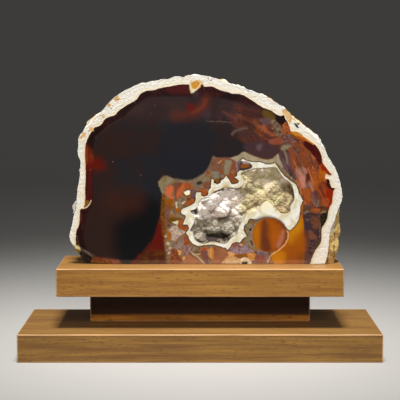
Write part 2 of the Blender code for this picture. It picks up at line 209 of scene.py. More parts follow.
# The markings of the polished face
FACE_MARKINGS = read_markings("""
# The dark chalcedony and the glows in it
area warm_left: ink_warm bark; 84,100 120,98 122,150 112,200 124,262 76,262; soft 9, ragged 3, grain broad,
  mottle broad
area soot_low: soot; 122,205 160,200 160,262 118,262; soft 7, ragged 2, grain broad
area brown_top: umber ink_warm; 112,98 160,94 240,98 250,112 200,120 150,122 118,116; soft 6, ragged 3,
  cover .8, grain broad, mottle broad
spots upper_lobe: ink_cool; 186,151,28.5; soft 3, cover .8
spots red_middle: dusk bark; 118,203,14 132,200,12; soft 8, ragged 2, cover .9, grain broad, mottle broad
outside edge_band: pitch maroon pitch; 92,268 88,250 84,240 85,225 89,210 94,200 93,180 94,165 94,150 96,138
  100,134 110,126 123,118 135,107 150,97.5 175,96.5 200,97 220,98.5 236,102 250,108 262,112 275,117 284,124
  300,150 330,200 330,268; soft 1.2, ragged .6, grain medium, mottle broad
line edge_line: ash_dark; 96,138 100,134 105,130.5 110,126 116,122 123,118.5; soft .5, width .5, cover .5
area top_red: oxblood; 168,88 189,85 191,93 172,94; soft 2, ragged 1, cover .75, grain medium
area left_strip: maroon garnet; 84,165 92,166 93,200 88,206 84,206; soft 1.6, ragged 1, cover .8, grain
  medium, mottle upright
area red_left: garnet; 85,158 96,157 104,161 105,168 95,170 85,168; soft 3.5, ragged 1, grain medium
area orange_left: ember garnet; 84,147 90,147 93,155 92,161 84,163; soft 2.2, ragged .8, grain medium,
  mottle upright
line glow_arc: dusk_red; 206,100 204,106 198,111 189,114.5 176,116; soft 4, width 6, cover .85, grain medium
line glow_core: ember; 205.5,100.5 203,106 198,110.5 192,112.5; soft 2.2, width 1.4, cover .7, grain medium
spots red_spot: garnet; 191,107.5,4.0; soft 1.6, ragged .8, cover .9
spots violet_spot: damson; 219,117.5,2.6; soft 2, cover .6
spots grey_glow: plum; 207,115,4 196,94.5,3; soft 2, cover .8
line left_gold: ember maroon; 80.5,211 81.5,216 80.8,222; soft .8, width 1.2
line left_foot: walnut; 77.3,236 78.5,243 81,248 90,253.2 98,257.8; soft .7, cover .8
line wisps: driftwood; 205,120.5 212,121.6 222,121.6 232,123; soft .5, ragged .5, width .5, cover .7
line wisp_low: driftwood; 216,123.6 224,122.9 230,122.4; soft .4, width .3, cover .5
line wisp_high: driftwood; 231,116 237,118.3 244,117; soft .7, ragged .6, width .8, cover .7
area grey_fleck: plum_grey; 231,133.5 235,129.5 239,129 235,132 232,134.8; soft .7, ragged .6, cover .8
line fleck_line: driftwood; 239,134.6 246,134; soft .6, width .7, cover .6
spots specks: plum_grey; 155.5,105.3,0.7 151.5,113.5,0.7 113.5,161.5,0.8 141,175,0.8 91.5,169.5,0.7
  136,103,0.6 197,141,0.5; soft .3, ragged .1
# The brown plume at the upper right
area plume: plum_brown rust_dark umber; 229,112 238,103 250,107 262,110 276,115 286,124 292,134 298,143
  290,150 278,151 262,146 245,144 236,134 230,122; soft 3, ragged 2.5, grain plume, mottle plume
area plume_red: rust_dark maroon umber; 242,110 258,109 262,118 254,130 244,126; soft 2.4, ragged 2.5, cover
  .85, grain plume, mottle plume
area plume_orange: plum_brown rust rust_dark; 256,126 272,124 276,132 274,141 262,140 255,134; soft 1.5,
  ragged 2, grain plume, mottle plume_two
area plume_lights: rose_dark driftwood; 236,113 262,113 284,124 296,140 288,148 262,142 242,139; soft 1.5,
  ragged 2, cover .3, grain plume, mottle plume, patches plume_two .35 .85
area plume_olive: olive_dark; 264,110.5 272,113.5 275,119 268,119.5 262,115; soft 1.2, ragged 1.2, grain
  plume_two
area plume_violet: plum_grey; 261,118 270,119 272,125 262,125; soft 1.4, ragged 1.4, cover .6, grain
  plume_two
area plume_grey: driftwood stone_grey walnut; 271,120 277,123.5 283.5,132 282,138 275,134 270,126; soft 1,
  ragged 1.8, cover .9, grain plume_two, mottle plume_two
area plume_black: pitch; 274.5,115 284,115.5 289,124 282,125 276,121; soft .9, ragged 1.2, grain plume_two
area plume_streaks: copper rust_dark copper; 282,124 289,123.5 292,133 288,137 282,133.5; soft .8, ragged
  .8, mottle upright
area plume_lilac: plum_grey driftwood rust_dark; 279,136.5 290,135 298,143 290,148.5 281,146; soft 1, ragged
  1.8, grain plume_two, mottle plume_two
area plume_pink: rose_dark rust; 268,139 279,137.5 283,142 273,145 268,143; soft 1, ragged 1.6, cover .8,
  grain plume_two, mottle plume_two
line plume_rose: rose_dark; 223,112 230,116 236,119.5; soft 1.4, ragged 1.6, width 1.4, cover .3, grain
  plume_two
line plume_copper: rust_light; 254,122 261,126 267,132 272,135; soft 1.6, ragged 1.8, width 1.8, cover .35,
  grain plume_two
line plume_wisps: driftwood; 232,134 238,130 246,128; soft 1.4, ragged 1.6, width 1.4, cover .5, grain
  plume_two
line plume_dusk: rust; 236,117 246,119 254,121; soft 1.6, ragged 1.8, width 1.8, cover .3, grain plume_two
area plume_low: plum plum_brown; 243,145 256,141 270,145 280,148 278,155 268,160 256,158 246,153; soft 1.8,
  ragged 1.6, grain plume, mottle plume
spots plume_low_light: plum_grey; 259,146.5,3.4; soft 1.4, ragged 1.4, cover .7, grain plume_two
area plume_green: olive_grey; 281,146 289,145 290.5,149 284,151.5 280,149; soft .9, ragged 1
# The flame-like bands down the right side
area flames: rust_dark rust_brown rust; 286,150 294,145 299,140 304,140 314,150 320,160 327,170 332,190
  328,214 318,217 303,217 301,203 298,192 295,182 288,176 283,166; soft .9, ragged 1.2, grain flame, mottle
  flame
area flame_browns: walnut driftwood plum_brown; 290,148 312,150 326,176 322,208 304,208 298,180 288,164;
  soft 2, cover .8, mottle flame, patches flame_two .1 .5
area flame_reds: rose_dark copper scarlet_dim; 288,148 300,141 318,160 326,190 320,206 306,206 296,178; soft
  2, cover .8, mottle flame_two, patches flame_three .15 .5
area crescent: mauve plum_brown; 277,155 280.5,151 287,150 288.5,158 290,166 294,174 297,181 291,180.5
  285,173 281,165; soft .9, ragged .6, grain flame, mottle flame
line crescent_light: olive_grey; 283.5,151 286,157 286.5,163; soft .9, ragged .5, width 1.2, cover .8
line crescent_edge: beige; 277,156 279,163 283.5,171 288.5,177.5 295,182; soft .4, width .8
area lens: maroon_deep garnet maroon_deep; 302,141 305.5,140.5 311,144 316.5,149 320.5,155 321.5,161 319,165
  316,161.5 313,156 309,151 304,147; soft .6, ragged .5, mottle flame
area grey_pink: driftwood rose; 296,167 304,168 307,172 304,178 298,180 295,174; soft 1.2, ragged 1.2, cover
  .8, grain flame, mottle flame
area pink_blob: rose; 299,177 304,176 307,181 307,187 302,188 299,183; soft 1.2, ragged 1, cover .85
area orange_side: orange; 295.5,179 299,184 301.5,192 299.5,194 297,188; soft .8, ragged .6
line gold_streak: copper; 305,187.5 303,190 301.5,195; soft .6
area violet_brown: plum_rose; 305,182 312,183 313,191 307,192; soft 1.2, ragged 1.2, cover .85, grain flame
area dark_diamond: maroon; 306.5,173 309.5,176 308,182 305,181 305,176; soft .8, ragged .8, cover .85
area orange_red: scarlet_dim copper rust; 310,171 317,172 317,180 311,181; soft 1.4, ragged 1.2, grain
  flame, mottle flame
area rust_side: orange_rust rust; 313,178 320,178 320,190 314,190; soft 1.4, ragged 1.2, grain flame, mottle
  flame_two
area bright_side: orange rust orange_rust; 319,165 324,169 326,176 324,184 318.5,183 318,172; soft .8,
  ragged 1, grain flame, mottle flame_two
area rust_red: rust_red rust_dark; 318,184 327,183 328,198 320,202; soft 1.2, ragged 1.2, grain flame,
  mottle flame
area deep_red: blood; 326,189 333,190 332,203 328,208 324,206; soft 1, ragged .6, grain flame
area red_low: scarlet_dim rust; 321,199 328,198 327,206 322,207; soft .9, ragged .8, grain flame, mottle
  flame
area brown_low: rust_dark walnut; 316,206 328,207 327,215 317,214; soft 1, ragged .8, grain flame, mottle
  flame
area dark_notch: maroon_deep; 326,178 329.5,179 330,185 336,187.5 333,190 330,189 326,186; soft .6, ragged
  .4
area orange_brown_side: rust copper; 302,190 307,191 308,206 306,216 302,216; soft .9, ragged 1, grain
  flame, mottle flame
area rust_patch: orange_rust rust; 306,189 313,191 312,200 307,200; soft 1, ragged 1, grain flame, mottle
  flame
area vee: plum_rose rust_dark; 310,192 318,191 319.5,204 316,208 311,201; soft .9, ragged 1, grain flame,
  mottle flame_two
line vee_lines: olive_grey; 311,198 315,205.5 316.5,206 318,200; soft .5, width .8, cover .8
line vee_black: pitch; 312,204 315,207.3 322,207.3; soft .4, width .7
area block_mauve: plum_rose walnut; 303,205 312,206 313,217 303,217; soft .8, ragged .8, mottle level
area block_rust: copper rust; 311,208 319,208 319,213.5 311,213.5; soft .7, ragged .6, mottle level
spots olive_spots: olive_grey; 306.5,213,2.6 323,213,2.6; soft .6, ragged .8
area flame_lights: honey rust_light; 288,152 295,145 304,141 314,150 320,160 328,172 331,190 327,206 303,204
  300,190 288,174; soft .9, ragged 1, cover .45, grain flame_two, mottle flame, patches flame_three .35 .8
area flame_darks: bark plum_brown; 288,152 295,145 304,141 314,150 320,160 328,172 331,190 327,206 303,204
  300,190 288,174; soft .9, ragged 1, cover .6, grain flame_two, mottle flame_two, patches flame .4 .9
# The purple-brown column
area column: plum_brown plum_grey umber; 303,214 321,214 322,228 321,243 314,256 310,270 298,270 302,240;
  soft 1.3, ragged .5, mottle level
area column_rust: rust_brown plum_brown walnut; 311,217 320,217 320,227 311,227; soft .8, ragged .8, mottle
  level
area column_violet: plum; 303,222 311,223 311,229 303,229; soft .7, ragged .4
area column_wedge: rust_brown; 309,229.5 317,237.5 309,238.5; soft .6, ragged .6, cover .8
area column_dark: pitch olive_black; 320,214 328,213 326,222 322,227 320,226; soft .6, ragged .5
line column_light: beige_dark; 319.8,223 319.5,237; soft .4, width .5, cover .8
line column_edge: olive_black olive_dark; 319,239 316,247.5 313,254 309.5,264; soft .5, ragged .7, width 1.3
# The amber strip
area amber_strip: amber amber_deep; 299.5,203 302,206 302,215 303.5,225 303,242 300,270 262,270 270,254
  282,246 287,238 288,229 294,224 298,216; soft .7, mottle broad
area amber_glow: amber_bright; 298,220 301,222 300,242 290,244 289,232; soft 2.2, ragged 1, cover .9, grain
  broad
area amber_shade: cinnamon amber_deep; 291,243 305,232 304,268 284,268; soft 4, ragged 1, cover .9, grain
  broad, mottle broad
area amber_foot: amber_bright; 271,256 280,250 286,256 280,268 268,268; soft 2, ragged 1, cover .6
# The moss agate round the hollow
area moss: moss_dark moss olive_grey; moss; soft .4, ragged .35, mottle moss
area moss_ochre: copper ochre_dark; moss; soft .4, cover .8, mottle moss, patches moss_two .2 .5
area moss_greys: stone_grey plum_rose lilac; moss; soft .4, cover .75, mottle medium, patches moss_three .25
  .5
area left_brown: ochre_dark umber_gold; 162.5,195 166,196 165.8,215 166,232 164,245 164,264 161.5,264
  162,240 158.5,226 160.5,216; soft .9, ragged .4
area moss_cusp: olive stone_grey; 159,183 162,177.8 166,175.6 172,177.8 176,180.4 173,184 166,185 161,186;
  soft 1.2, ragged .6, mottle medium
area moss_tip: olive_grey; 158.7,182 162,183.5 164.5,187 164.5,191 162.5,193; soft .8, ragged .4
line moss_lobe_rim: driftwood olive_grey; lobe_edge; soft 1, ragged .4, width 2, cover .85, mottle medium
area moss_brown_top: rust_brown moss_dark; 174,182 184,183 184,187 178,196 175,200 174,190; soft .9, ragged
  .8, mottle upright
area moss_scarlet: scarlet rust_light; 168,185.5 172,185.5 173.5,189 171.5,193 173,197.5 171,199 168,195.5
  165.5,194 166,189; soft 1, ragged .5, grain medium
line moss_scarlet_streak: scarlet copper; 185,184 182.5,187 180,190.5 178.3,195.5; soft 1.2, ragged .5,
  width 2.8
area moss_rust_top: rust copper; 186,183 195,183 196,188 188,188.5 185,186; soft .9, ragged .8, mottle moss
area moss_grey_top: olive_grey driftwood; 192,182 200,179 206,176 208,181 203,187 196,189.5 193,186; soft
  .9, ragged .7, mottle moss
area moss_hole: olive_black; 196.8,182.5 199,180.8 202,181.2 202,183.4 199,184.3 197,184; soft .5
spots moss_slate: slate; 198.6,186.8,1.4 219.3,166.3,1.6 215.8,174.5,2.6; soft .6, ragged .5, cover .85
area moss_red_brown: rust_brown; 203,183 209,181 210,187.5 205,188.5; soft .7, ragged .5
area moss_rust: rust copper; 198,188.5 203,188 209,192 208,195 204,196 201.5,194 201,191.5; soft .6
line moss_rust_dark: walnut; 201.3,193 202.5,195.5 205.5,196.2; soft .4, width .7
area moss_violet_top: plum_rose mauve; 191.5,189 196,191 195.5,200 192,199 191,195; soft .7, ragged .5,
  mottle upright
area moss_lens: rust orange_rust; 186,203 188,199.5 192,197.5 194,199.5 192.5,203 187,206; soft .6, mottle
  medium
line moss_lens_rim: bark; 183,207 188,206.3 193,203.4 194.9,200 194.4,197.3 191.3,197.4 187.5,199.5; soft
  .4, width .7, cover .9
area moss_amber: amber_deep ochre_dark; 165.5,199 172,198.5 174,202 172,205 167,205; soft .9, ragged .7,
  mottle medium
area moss_amber_low: ochre_dark walnut rust; 165.5,205 173,205.5 172.5,209 166,209; soft .8, ragged .7
area moss_mauve: mauve rust_brown; 165.8,209 169.5,209 169,226 166,226; soft .8, ragged .5, mottle upright
area moss_brown_mid: moss stone_grey; 170,211 175,212 180,214 181,218 171,218; soft .9, ragged .8, mottle
  moss
area moss_amber_dab: amber_deep; 176,207.5 179,207 180,211 177,212.5 175.5,210; soft .6, ragged .4
line moss_dab_rim: bark; 174.5,208 174.4,211.5 176,213; soft .5, width .7, cover .8
area moss_ochre_low: ochre_dark olive_dark; 167.5,217 180,217 182,219.5 177,221.5 171,223 168,221; soft .8,
  ragged .7, mottle moss
spots moss_plum: damson; 168.8,225,1.2 188.5,198.5,1.0 180,218.6,0.8; soft .6, ragged .4
area moss_cup: orange_rust rust; 178.3,220 181,219.5 182,225 184.5,226 188.5,224.2 189,226.5 186.5,229.3
  182.5,230 179.5,227.5; soft .5, mottle medium
line moss_cup_gold: amber_deep; 180.3,227.5 182.5,229 185,228.7; soft .5, width .9
area moss_cream: pale_moss cream_dark lilac; 172,226.5 177,225 180,229 186,231.5 184,233.5 180,236 176,240.5
  172,240 171,233 168,230.5; soft .7, ragged .6, mottle medium
area moss_cream_dab: pale_moss; 172.5,222 176,220.8 178.4,220.5 177.3,224 175,223.6; soft .5
line moss_hook: bark; 172,223.3 174,223.8 175.3,225.3; soft .4, width .7
area moss_ochre_dab: rust ochre; 167.7,231 171,232 171.5,239 168,239.5; soft .6, ragged .4, mottle medium
line moss_olive_curve: walnut ochre_dark; 176.5,243 177.5,239.5 181,236 185,233.8 188.5,235; soft .6, ragged
  .4, width .9, cover .8
area moss_rust_dab: copper rust; 184.5,235.5 188.5,235.5 190,240 188.5,244.5 184,245 183.2,240; soft .7,
  ragged .5, mottle medium
spots moss_rust_eye: mauve; 185.2,238.3,1.3; soft .7
area moss_diagonal: lilac plum_rose stone_grey; 175,247 178,243 182,239.5 184,242 182,246 178,249.5; soft
  .7, ragged .5
area moss_grey_left: driftwood stone_grey; 170,240.5 175.5,241 176,246 171,246.5; soft .8, ragged .6
spots moss_lights: cream_dark; 168,243.2,1.6 170.3,248,1.5 169,252.7,1.4 165.8,236,1.0; soft .7, ragged .4
area moss_low_red: rust_brown copper rust_dark; 172,249 178,250 179,255 182,262 170,264 171,255; soft .9,
  ragged .9, mottle moss_fine
area moss_mauve_low: mauve rust_brown lilac; 184,246 190.5,246 190,252 188.5,255 183,254; soft .8, ragged
  .6, mottle medium
spots moss_gold_dabs: honey; 179.8,251.3,1.5 179.5,253.8,1.2 184,258,1.7 178.2,250.3,0.8; soft .5, ragged .5
area moss_plain: moss_pink; 187,255 191,255.5 197,258.5 202,264 184,266; soft .9, ragged .5
line moss_vein: cream_dark beige; 191,250.8 194,254.4 198,257.2 201,260.5 204.5,263.3; soft .5, width 1.1,
  mottle medium
line moss_vein_top: beige cream_dark; 194,254.3 198,254 201.5,252.6; soft .5, ragged .2, width .8
line moss_vein_dark: walnut; 190,251 192.5,255.4 196.5,257.2 199.5,260.4 203,263.5; soft .4, ragged .2,
  width .6
line moss_vein_brown: walnut; 190.8,249.8 194,252.4 200,252.4 202.3,255 203.3,259; soft .4, ragged .2, width
  .7
area moss_beside_vein: mauve rust_brown; 201,251 206,250 208,258 208,264 204.5,262; soft .6, ragged .4,
  mottle upright
spots moss_red_dabs: scarlet_dim; 202.7,248.7,1.6 206.8,248.8,1.1; soft .6, ragged .4
area moss_honey: honey ochre; 208.5,249 213.5,248 214,257 213.5,260 210.5,259 209,255; soft .7, ragged .5,
  mottle upright
line moss_honey_line: cinnamon; 206,256.5 208.5,257.4 211.5,259.6; soft .5, width .8
area moss_smooth: moss_pink rust_brown; 215,248 226,249 228.5,255 226,266 214,264; soft .9, ragged .5,
  mottle broad
spots moss_olive_dab: ochre_dark; 214.5,248.3,1.7; soft .7, ragged .4
area moss_tan: honey; 228,251.5 234,251.5 235,255 229.5,255.5; soft .6, ragged .5
area moss_violet: plum_rose lilac_violet lilac; 229.5,250 233,243 239,246 244,244 249,248 253,252 247,254
  236,253.5; soft .7, ragged .7, mottle moss_fine
area moss_red_dab: rose_dark; 232,243 235,241.3 237.5,243 236,247 232.5,246.5; soft .6, ragged .4
area moss_violet_core: lilac_violet; 244.5,244.5 247,246.5 248,251 245,250; soft .6
spots moss_gold_dab: cream_dark; 240.3,244.3,1.2; soft .4, ragged .2
spots moss_gold_eye: honey; 242.3,245,1.0; soft .4, ragged .2
line moss_eye_line: damson; 238,245.8 240.5,246.8 243.2,246.2 244,244; soft .4, width .6, cover .9
area moss_low_amber: ochre_dark amber_deep; 235,254.5 247.5,253.5 247,257 240,257.5 236,257; soft .8, ragged
  .5, mottle medium
area moss_low_gold: ochre honey cream_dark; 224,262.5 226,257 231,255.5 236,257.5 240.5,259 240,263; soft
  .8, ragged .7, mottle moss_fine
area moss_honey_low: honey ochre; 248,252.5 254.5,253 256,258 251,261 248,257.5; soft .7, ragged .5, mottle
  medium
area moss_pink_low: rose_dark rust_brown; 256,254.5 266,254 266,262 255,262.5; soft .8, ragged .6, mottle
  moss
area moss_lilac_low: lilac mauve; 256,251.5 262,251 267,254.5 268.5,262 266,263 264.5,256 257,254.5; soft
  .7, ragged .4, mottle medium
area moss_cream_low: chalk_warm cream_dark; 240.5,261.5 242,257.8 246.5,257.4 250,259.5 251,263.5 241,264;
  soft .5, ragged .5, mottle medium
line moss_foot_light: cream_dark; 222,262.6 227,262.8 232,262.6; soft .5, width .7, cover .8
area moss_hollow_rim: driftwood stone_grey olive_grey; 244.5,224.5 249,222.5 253,224 252.5,236 255,247
  249,246.5 245,243.5 246.5,236.5 244.5,232; soft .5, ragged .4, mottle moss_fine
line moss_hollow_brown: rust_brown; 245.4,225.5 245.4,231.5; soft .5
area moss_hollow_red: rust_brown olive; 249,219.5 254,218.5 257,221 252.5,224 249.5,222.5; soft .6, ragged
  .4, mottle medium
area moss_upper: moss_dark rust driftwood; 212.5,158.5 234,158 236.5,163 236,176 230,177 224,174.5 214,177
  210.5,172; soft .6, ragged .6, mottle moss_fine
area moss_upper_grey: olive_grey stone_grey; 224.5,159.5 231.5,160 231,167.5 228.5,174 224.5,173.5 224,166;
  soft .8, ragged .6, mottle moss_fine
area moss_upper_slate: slate olive_grey; 211.5,171.5 219,171.5 221,176.5 218,179 212.5,177.5; soft .7,
  ragged .5, mottle medium
spots moss_upper_rust: rust; 221.5,171,1.9 208,172,1.8 223,161.5,1.4; soft .6, ragged .5
line moss_upper_streak: honey; 221.2,160.3 219.8,161.8 218.3,163; soft .5, width .8, cover .8
area moss_upper_foot: walnut ochre_dark; 214.5,179 221,177.5 221,181 219,183.8 215.5,183; soft .5, mottle
  medium
area moss_strip: lilac mauve; 235.8,157 239.8,158.5 239.8,168 237.5,171.5 235.8,167; soft .7, mottle upright
area moss_red_strip: rust_brown rust; 229.5,170 231.5,164 235,161 236,170 235.3,176 231.5,183 228.5,177;
  soft .7, ragged .4, mottle upright
area moss_drop: ochre_dark copper; 231.5,180.3 234,179 237,180 236.3,183 234,184 232,183; soft .5, ragged
  .2, mottle medium
line moss_upper_edge: rust; 214,158.6 222,158.8 230,158.6 234,157.4; soft .6, width .9, cover .7
# Fine light and dark veins all over the moss agate
area moss_veins: bark_red plum_brown; moss; soft .4, cover .55, mottle moss_two, patches moss_fine .2 .75
area moss_veils: stone_grey honey; moss; soft .4, cover .45, mottle moss_two, patches moss_three .35 .9
# The grey band over the hollow, and the white border of it
area grey_band: beige khaki; 231,157.5 238,155 244,151.5 250,154.5 256,156.8 263,159 268,159.4 273,158
  277,153.5 279,159 283,168 278,165 274.5,162.5 268,164.5 262,163 256,162 250,162 244,160 239,161 234,160;
  soft .5, ragged .4, mottle medium
line band_top: olive_dark; 244,151.2 250,154.2 256,156.2 262,158.2 268,158.8 273,157.6; soft .5, width .7,
  cover .8
line band_line: walnut; 246,160.8 256,161.6 261,161.8 264,163.7 270,163.9 274.3,162.2; soft .4, width .6,
  cover .85
area border_shade: bark plum_brown; white_border; soft .45, ragged .45, cover .85, grow .75, mottle medium,
  rounded 0
area white_border: chalk pale_moss; white_border; soft .3, ragged .4, mottle medium, rounded 0
area inlet_rim: plum; 239.5,163.5 243,161.5 247,161.5 251.5,164.5 251,167.5 246,169.8 240,170; soft .4
area inlet: rust ochre_dark; 240,165 243,163.3 248,163.6 249.5,165.5 247,167.3 241,167.8; soft .5, mottle
  medium
area inlet_light: lilac; 241.5,162.8 244,161.3 248.5,162 249,163.4 244,163.6; soft .4, ragged .2
area lemon_lump: lemon chalk; 260.5,208 262.5,203.5 267,201.5 271.5,204 274,209 271,212.5 264,212.5; soft
  .8, ragged .8, mottle medium
area shelf_crystals: cream_dark beige ochre_light; 244,171 241,176 245,182 243.5,188 238,190.5 231,190.5
  227.5,184.5 223,186 219,189.5 213,190.5 211,194 215,200 240,195 255,178; soft .7, ragged .9, cover .9,
  mottle medium
area low_crystals: slate_dark stone_grey; 197,237 205,238.5 212,236 229,235 228.5,240.5 222,242 214,241.5
  206,241 198,241.5; soft .7, ragged .8, cover .9
area moss_white_dab: chalk lemon; 183.6,192.3 186.5,190.4 190,190 190,194 186.3,195; soft .3, ragged .25,
  mottle medium, rounded 0
line moss_white_rim: walnut; 183.5,193.2 186,195.7 189.7,195 191.2,193.5 191.2,190 188.5,189 185,190.3; soft
  .4, width .7, cover .85
spots moss_white_dabs: chalk_warm; 182.8,202.6,0.9 184.6,201.3,0.7; soft .4
line moss_white_tail: pale_moss; 176.3,201.8 176.6,204.5 177,207.5; soft .5, ragged .2, width .9
area moss_holes: pitch; 248.2,229.5 250.5,227.8 251.7,227 251,231 250,230.5; ragged .2, rounded 0
line moss_cracks: pitch; 250.8,240.3 251.7,242.5 252.3,244.5; soft .4, width 1.3
spots moss_black_dots: pitch; 243.3,263,1.6 246,262.8,1.7 214.8,181.8,1.1 184.6,202.8,0.6 184.4,224.4,0.9
  181.5,201.5,0.6
# The orange drop below the hollow
line drop_shade: lilac slate; 254,219.5 260,217 269,216.4 277,218.5 284,224; soft .8, width 1.2, cover .8
spots drop: amber_deep cinnamon; 269.5,234.7,17.2; soft .4, ragged .15, mottle broad
area drop_gold: amber; 253,232 257,224 259.5,236 258.5,249 254,243; soft 2.4, cover .9
area drop_right: orange; 270,221 280,225 281,236 275,247 272,246 269.5,232; soft 2.4, cover .5
area drop_streak: rust_dark; 261.8,221 266,220.5 266,234 271,249 264,250 261.5,238; soft 1.6, ragged .4,
  cover .85
line drop_pink: rose rust_light; 283,231 281,239 278,246; soft 1.8, width 2.6, cover .65, mottle upright
line drop_rim: olive_grey; 252.3,240 252,232 254.3,225 256,222.5; soft .5, width .7
line drop_ring: peach; 287,230 288,236 286,242 282,247 276,251.5 270.5,255.5 268,262; soft .4, width .8
# The red wedge at the foot of the dark chalcedony
area red_wedge: garnet bark_red; 160.5,218 162.5,232 163.5,270 128,270 136,258 147,246 154,236 158,224; soft
  1.2, ragged .5, grain medium, mottle broad
area wedge_low: bark_red umber_gold; 140,258 152,250 165,252 165,270 134,270; soft 3, ragged 1, cover .85,
  grain medium, mottle medium
# Under the rind on the right
line amber_band: amber_bright honey; 291,132.5 295,133.8 299.5,136.5 304,138 309,140.3 313,142.8; soft .6,
  ragged .4, width 2.6, mottle medium
line amber_band_core: orange_rust; 297,136.5 301,138 304,138.5; soft .9, width 1.8
line amber_band_line: rust; 289,131 293,136 299,140 303,141; soft .6
area red_prong: blood; 320,163 322,163.5 325,167 328,171 331,174 328,175 325,171.5 320.5,169; soft .5
area hook_gold: ochre_dark; 85,201 89,200 90,203 87,206.5 84,207; soft .6
""")

RIND = Marking("outside", "rind", "chalk", RIND_INSIDE)

# What lies over the rind: it is drawn after it
RIND_MARKINGS = read_markings("""
area rind_tan: sand honey; 281,110 286,109.5 289.5,113 291,119 289,123 285.5,119 283,114.5; soft .6, ragged
  .8, mottle medium
spots rind_stains: sand honey; 110,105.5,1.8 118,99,2.6 92.5,129.5,2.4 85,134.5,2.2 104,116.5,1.6
  82,138,1.4; soft .7, ragged .9, mottle medium
spots rind_pits: walnut; 112.3,108.6,0.8 85.5,133.5,0.8 90,131,0.8 119.5,100,0.7 208.3,79.6,0.8 211,81,1.0
  247.5,92,0.6; soft .4, ragged .4, cover .8
spots rind_holes: pitch; 294.3,124.3,1.2 297.3,124,0.9 296,126,1.3 297,127.4,1.0; ragged .4
area gold_pocket_edge: pale_moss sand; 189.5,83 194,80.5 200,80.5 203,83 200,88 196,91 192,94 190,90; soft
  .5, ragged .5, mottle medium
area gold_pocket: gold umber_gold gold; 191.5,84 195,82 199,83 199,86.5 195.5,89.5 192,88; soft .5, ragged
  .6
area pocket_dark: maroon; 200.3,87.8 202,84.3 204,87.5; soft .4, ragged .2
area chip_grey: ash_dark slate_dark; 75,247 82,248 90,252.5 95,258.5 95,264 75,264; soft .6, ragged .9
area chip_lichen: lichen pale_moss; 72,245.5 78.5,245.5 81,249.5 79,255 75,254; soft .5, ragged .7, mottle
  medium
spots chip_glints: chalk_grey; 82.5,252.5,0.9 80,257,0.8 86.5,259.5,0.7 84,255.5,0.5 89.5,257,0.5
line chip_outline: driftwood; 84,249.8 89,253 93,258.5 97,262.5; soft .4, width .7
area chip_brown: rust_brown ember; 93.5,258 104,257.8 118,259.8 119,264 95,264; soft 1, ragged .8, cover
  .85, mottle medium
line hook: pale_moss; 83,208.2 86,207.3 88.7,205.5 90.6,202.5 91.8,199.8; soft .3, ragged .15, width .7
""")

# The natural skin below the face's edge, at the lower right and at the chipped lower left
SKIN_MARKINGS = read_markings("""
area foot_gold: sand_gold ochre_light; 337,208 335,216 333,230 327,240 326,268 350,268 350,208; soft .8,
  ragged 1, mottle medium
line foot_crack: walnut; 334.5,232 335,240 334.2,248 334.5,259; soft .5, ragged .6, width .8
line foot_tan: rust_brown; 329.5,250 327.5,256 327,262; soft .6, ragged .6, width 1.3
area chip_pale: chalk_grey cream_dark; 66,244 76,246 80,258 82,268 66,268; soft .6, ragged .6, mottle medium
area chip_yellow: lichen; 75,248 78,247 81,251 79,255.5 75.5,252; soft .5, ragged .5
area chip_dark: slate_dark pitch; 79,253 84,251 92,256 94,262 88,268 80,264; soft .6, ragged .8, mottle
  medium
area chip_tan: ochre rust_brown; 93,257 99,259 112,260.5 122,263 120,268 93,268; soft .7, ragged .6, mottle
  medium
""")

# Where the polished agate shines and where its matter is dull, by how rough each finish is
FACE_GLOSS, BORDER_GLOSS, RIND_ROUGHNESS = 0.07, 0.28, 0.78


def linear(*levels):
    """A colour as Blender keeps it, from what the eye sees, 0 to 255 a channel."""
    shares = [level / 255 for level in levels]
    return [s / 12.92 if s <= 0.04045 else ((s + 0.055) / 1.055) ** 2.4 for s in shares]


def swatch(name, description, *levels):
    return bpy.props.FloatVectorProperty(
        name=name, description=description, subtype="COLOR", size=3, min=0.0, max=1.0,
        default=linear(*levels),
    )


def length(name, description, default):
    return bpy.props.FloatProperty(
        name=name, description=description, default=default * MM, min=0.0,
        subtype="DISTANCE", unit="LENGTH",
    )


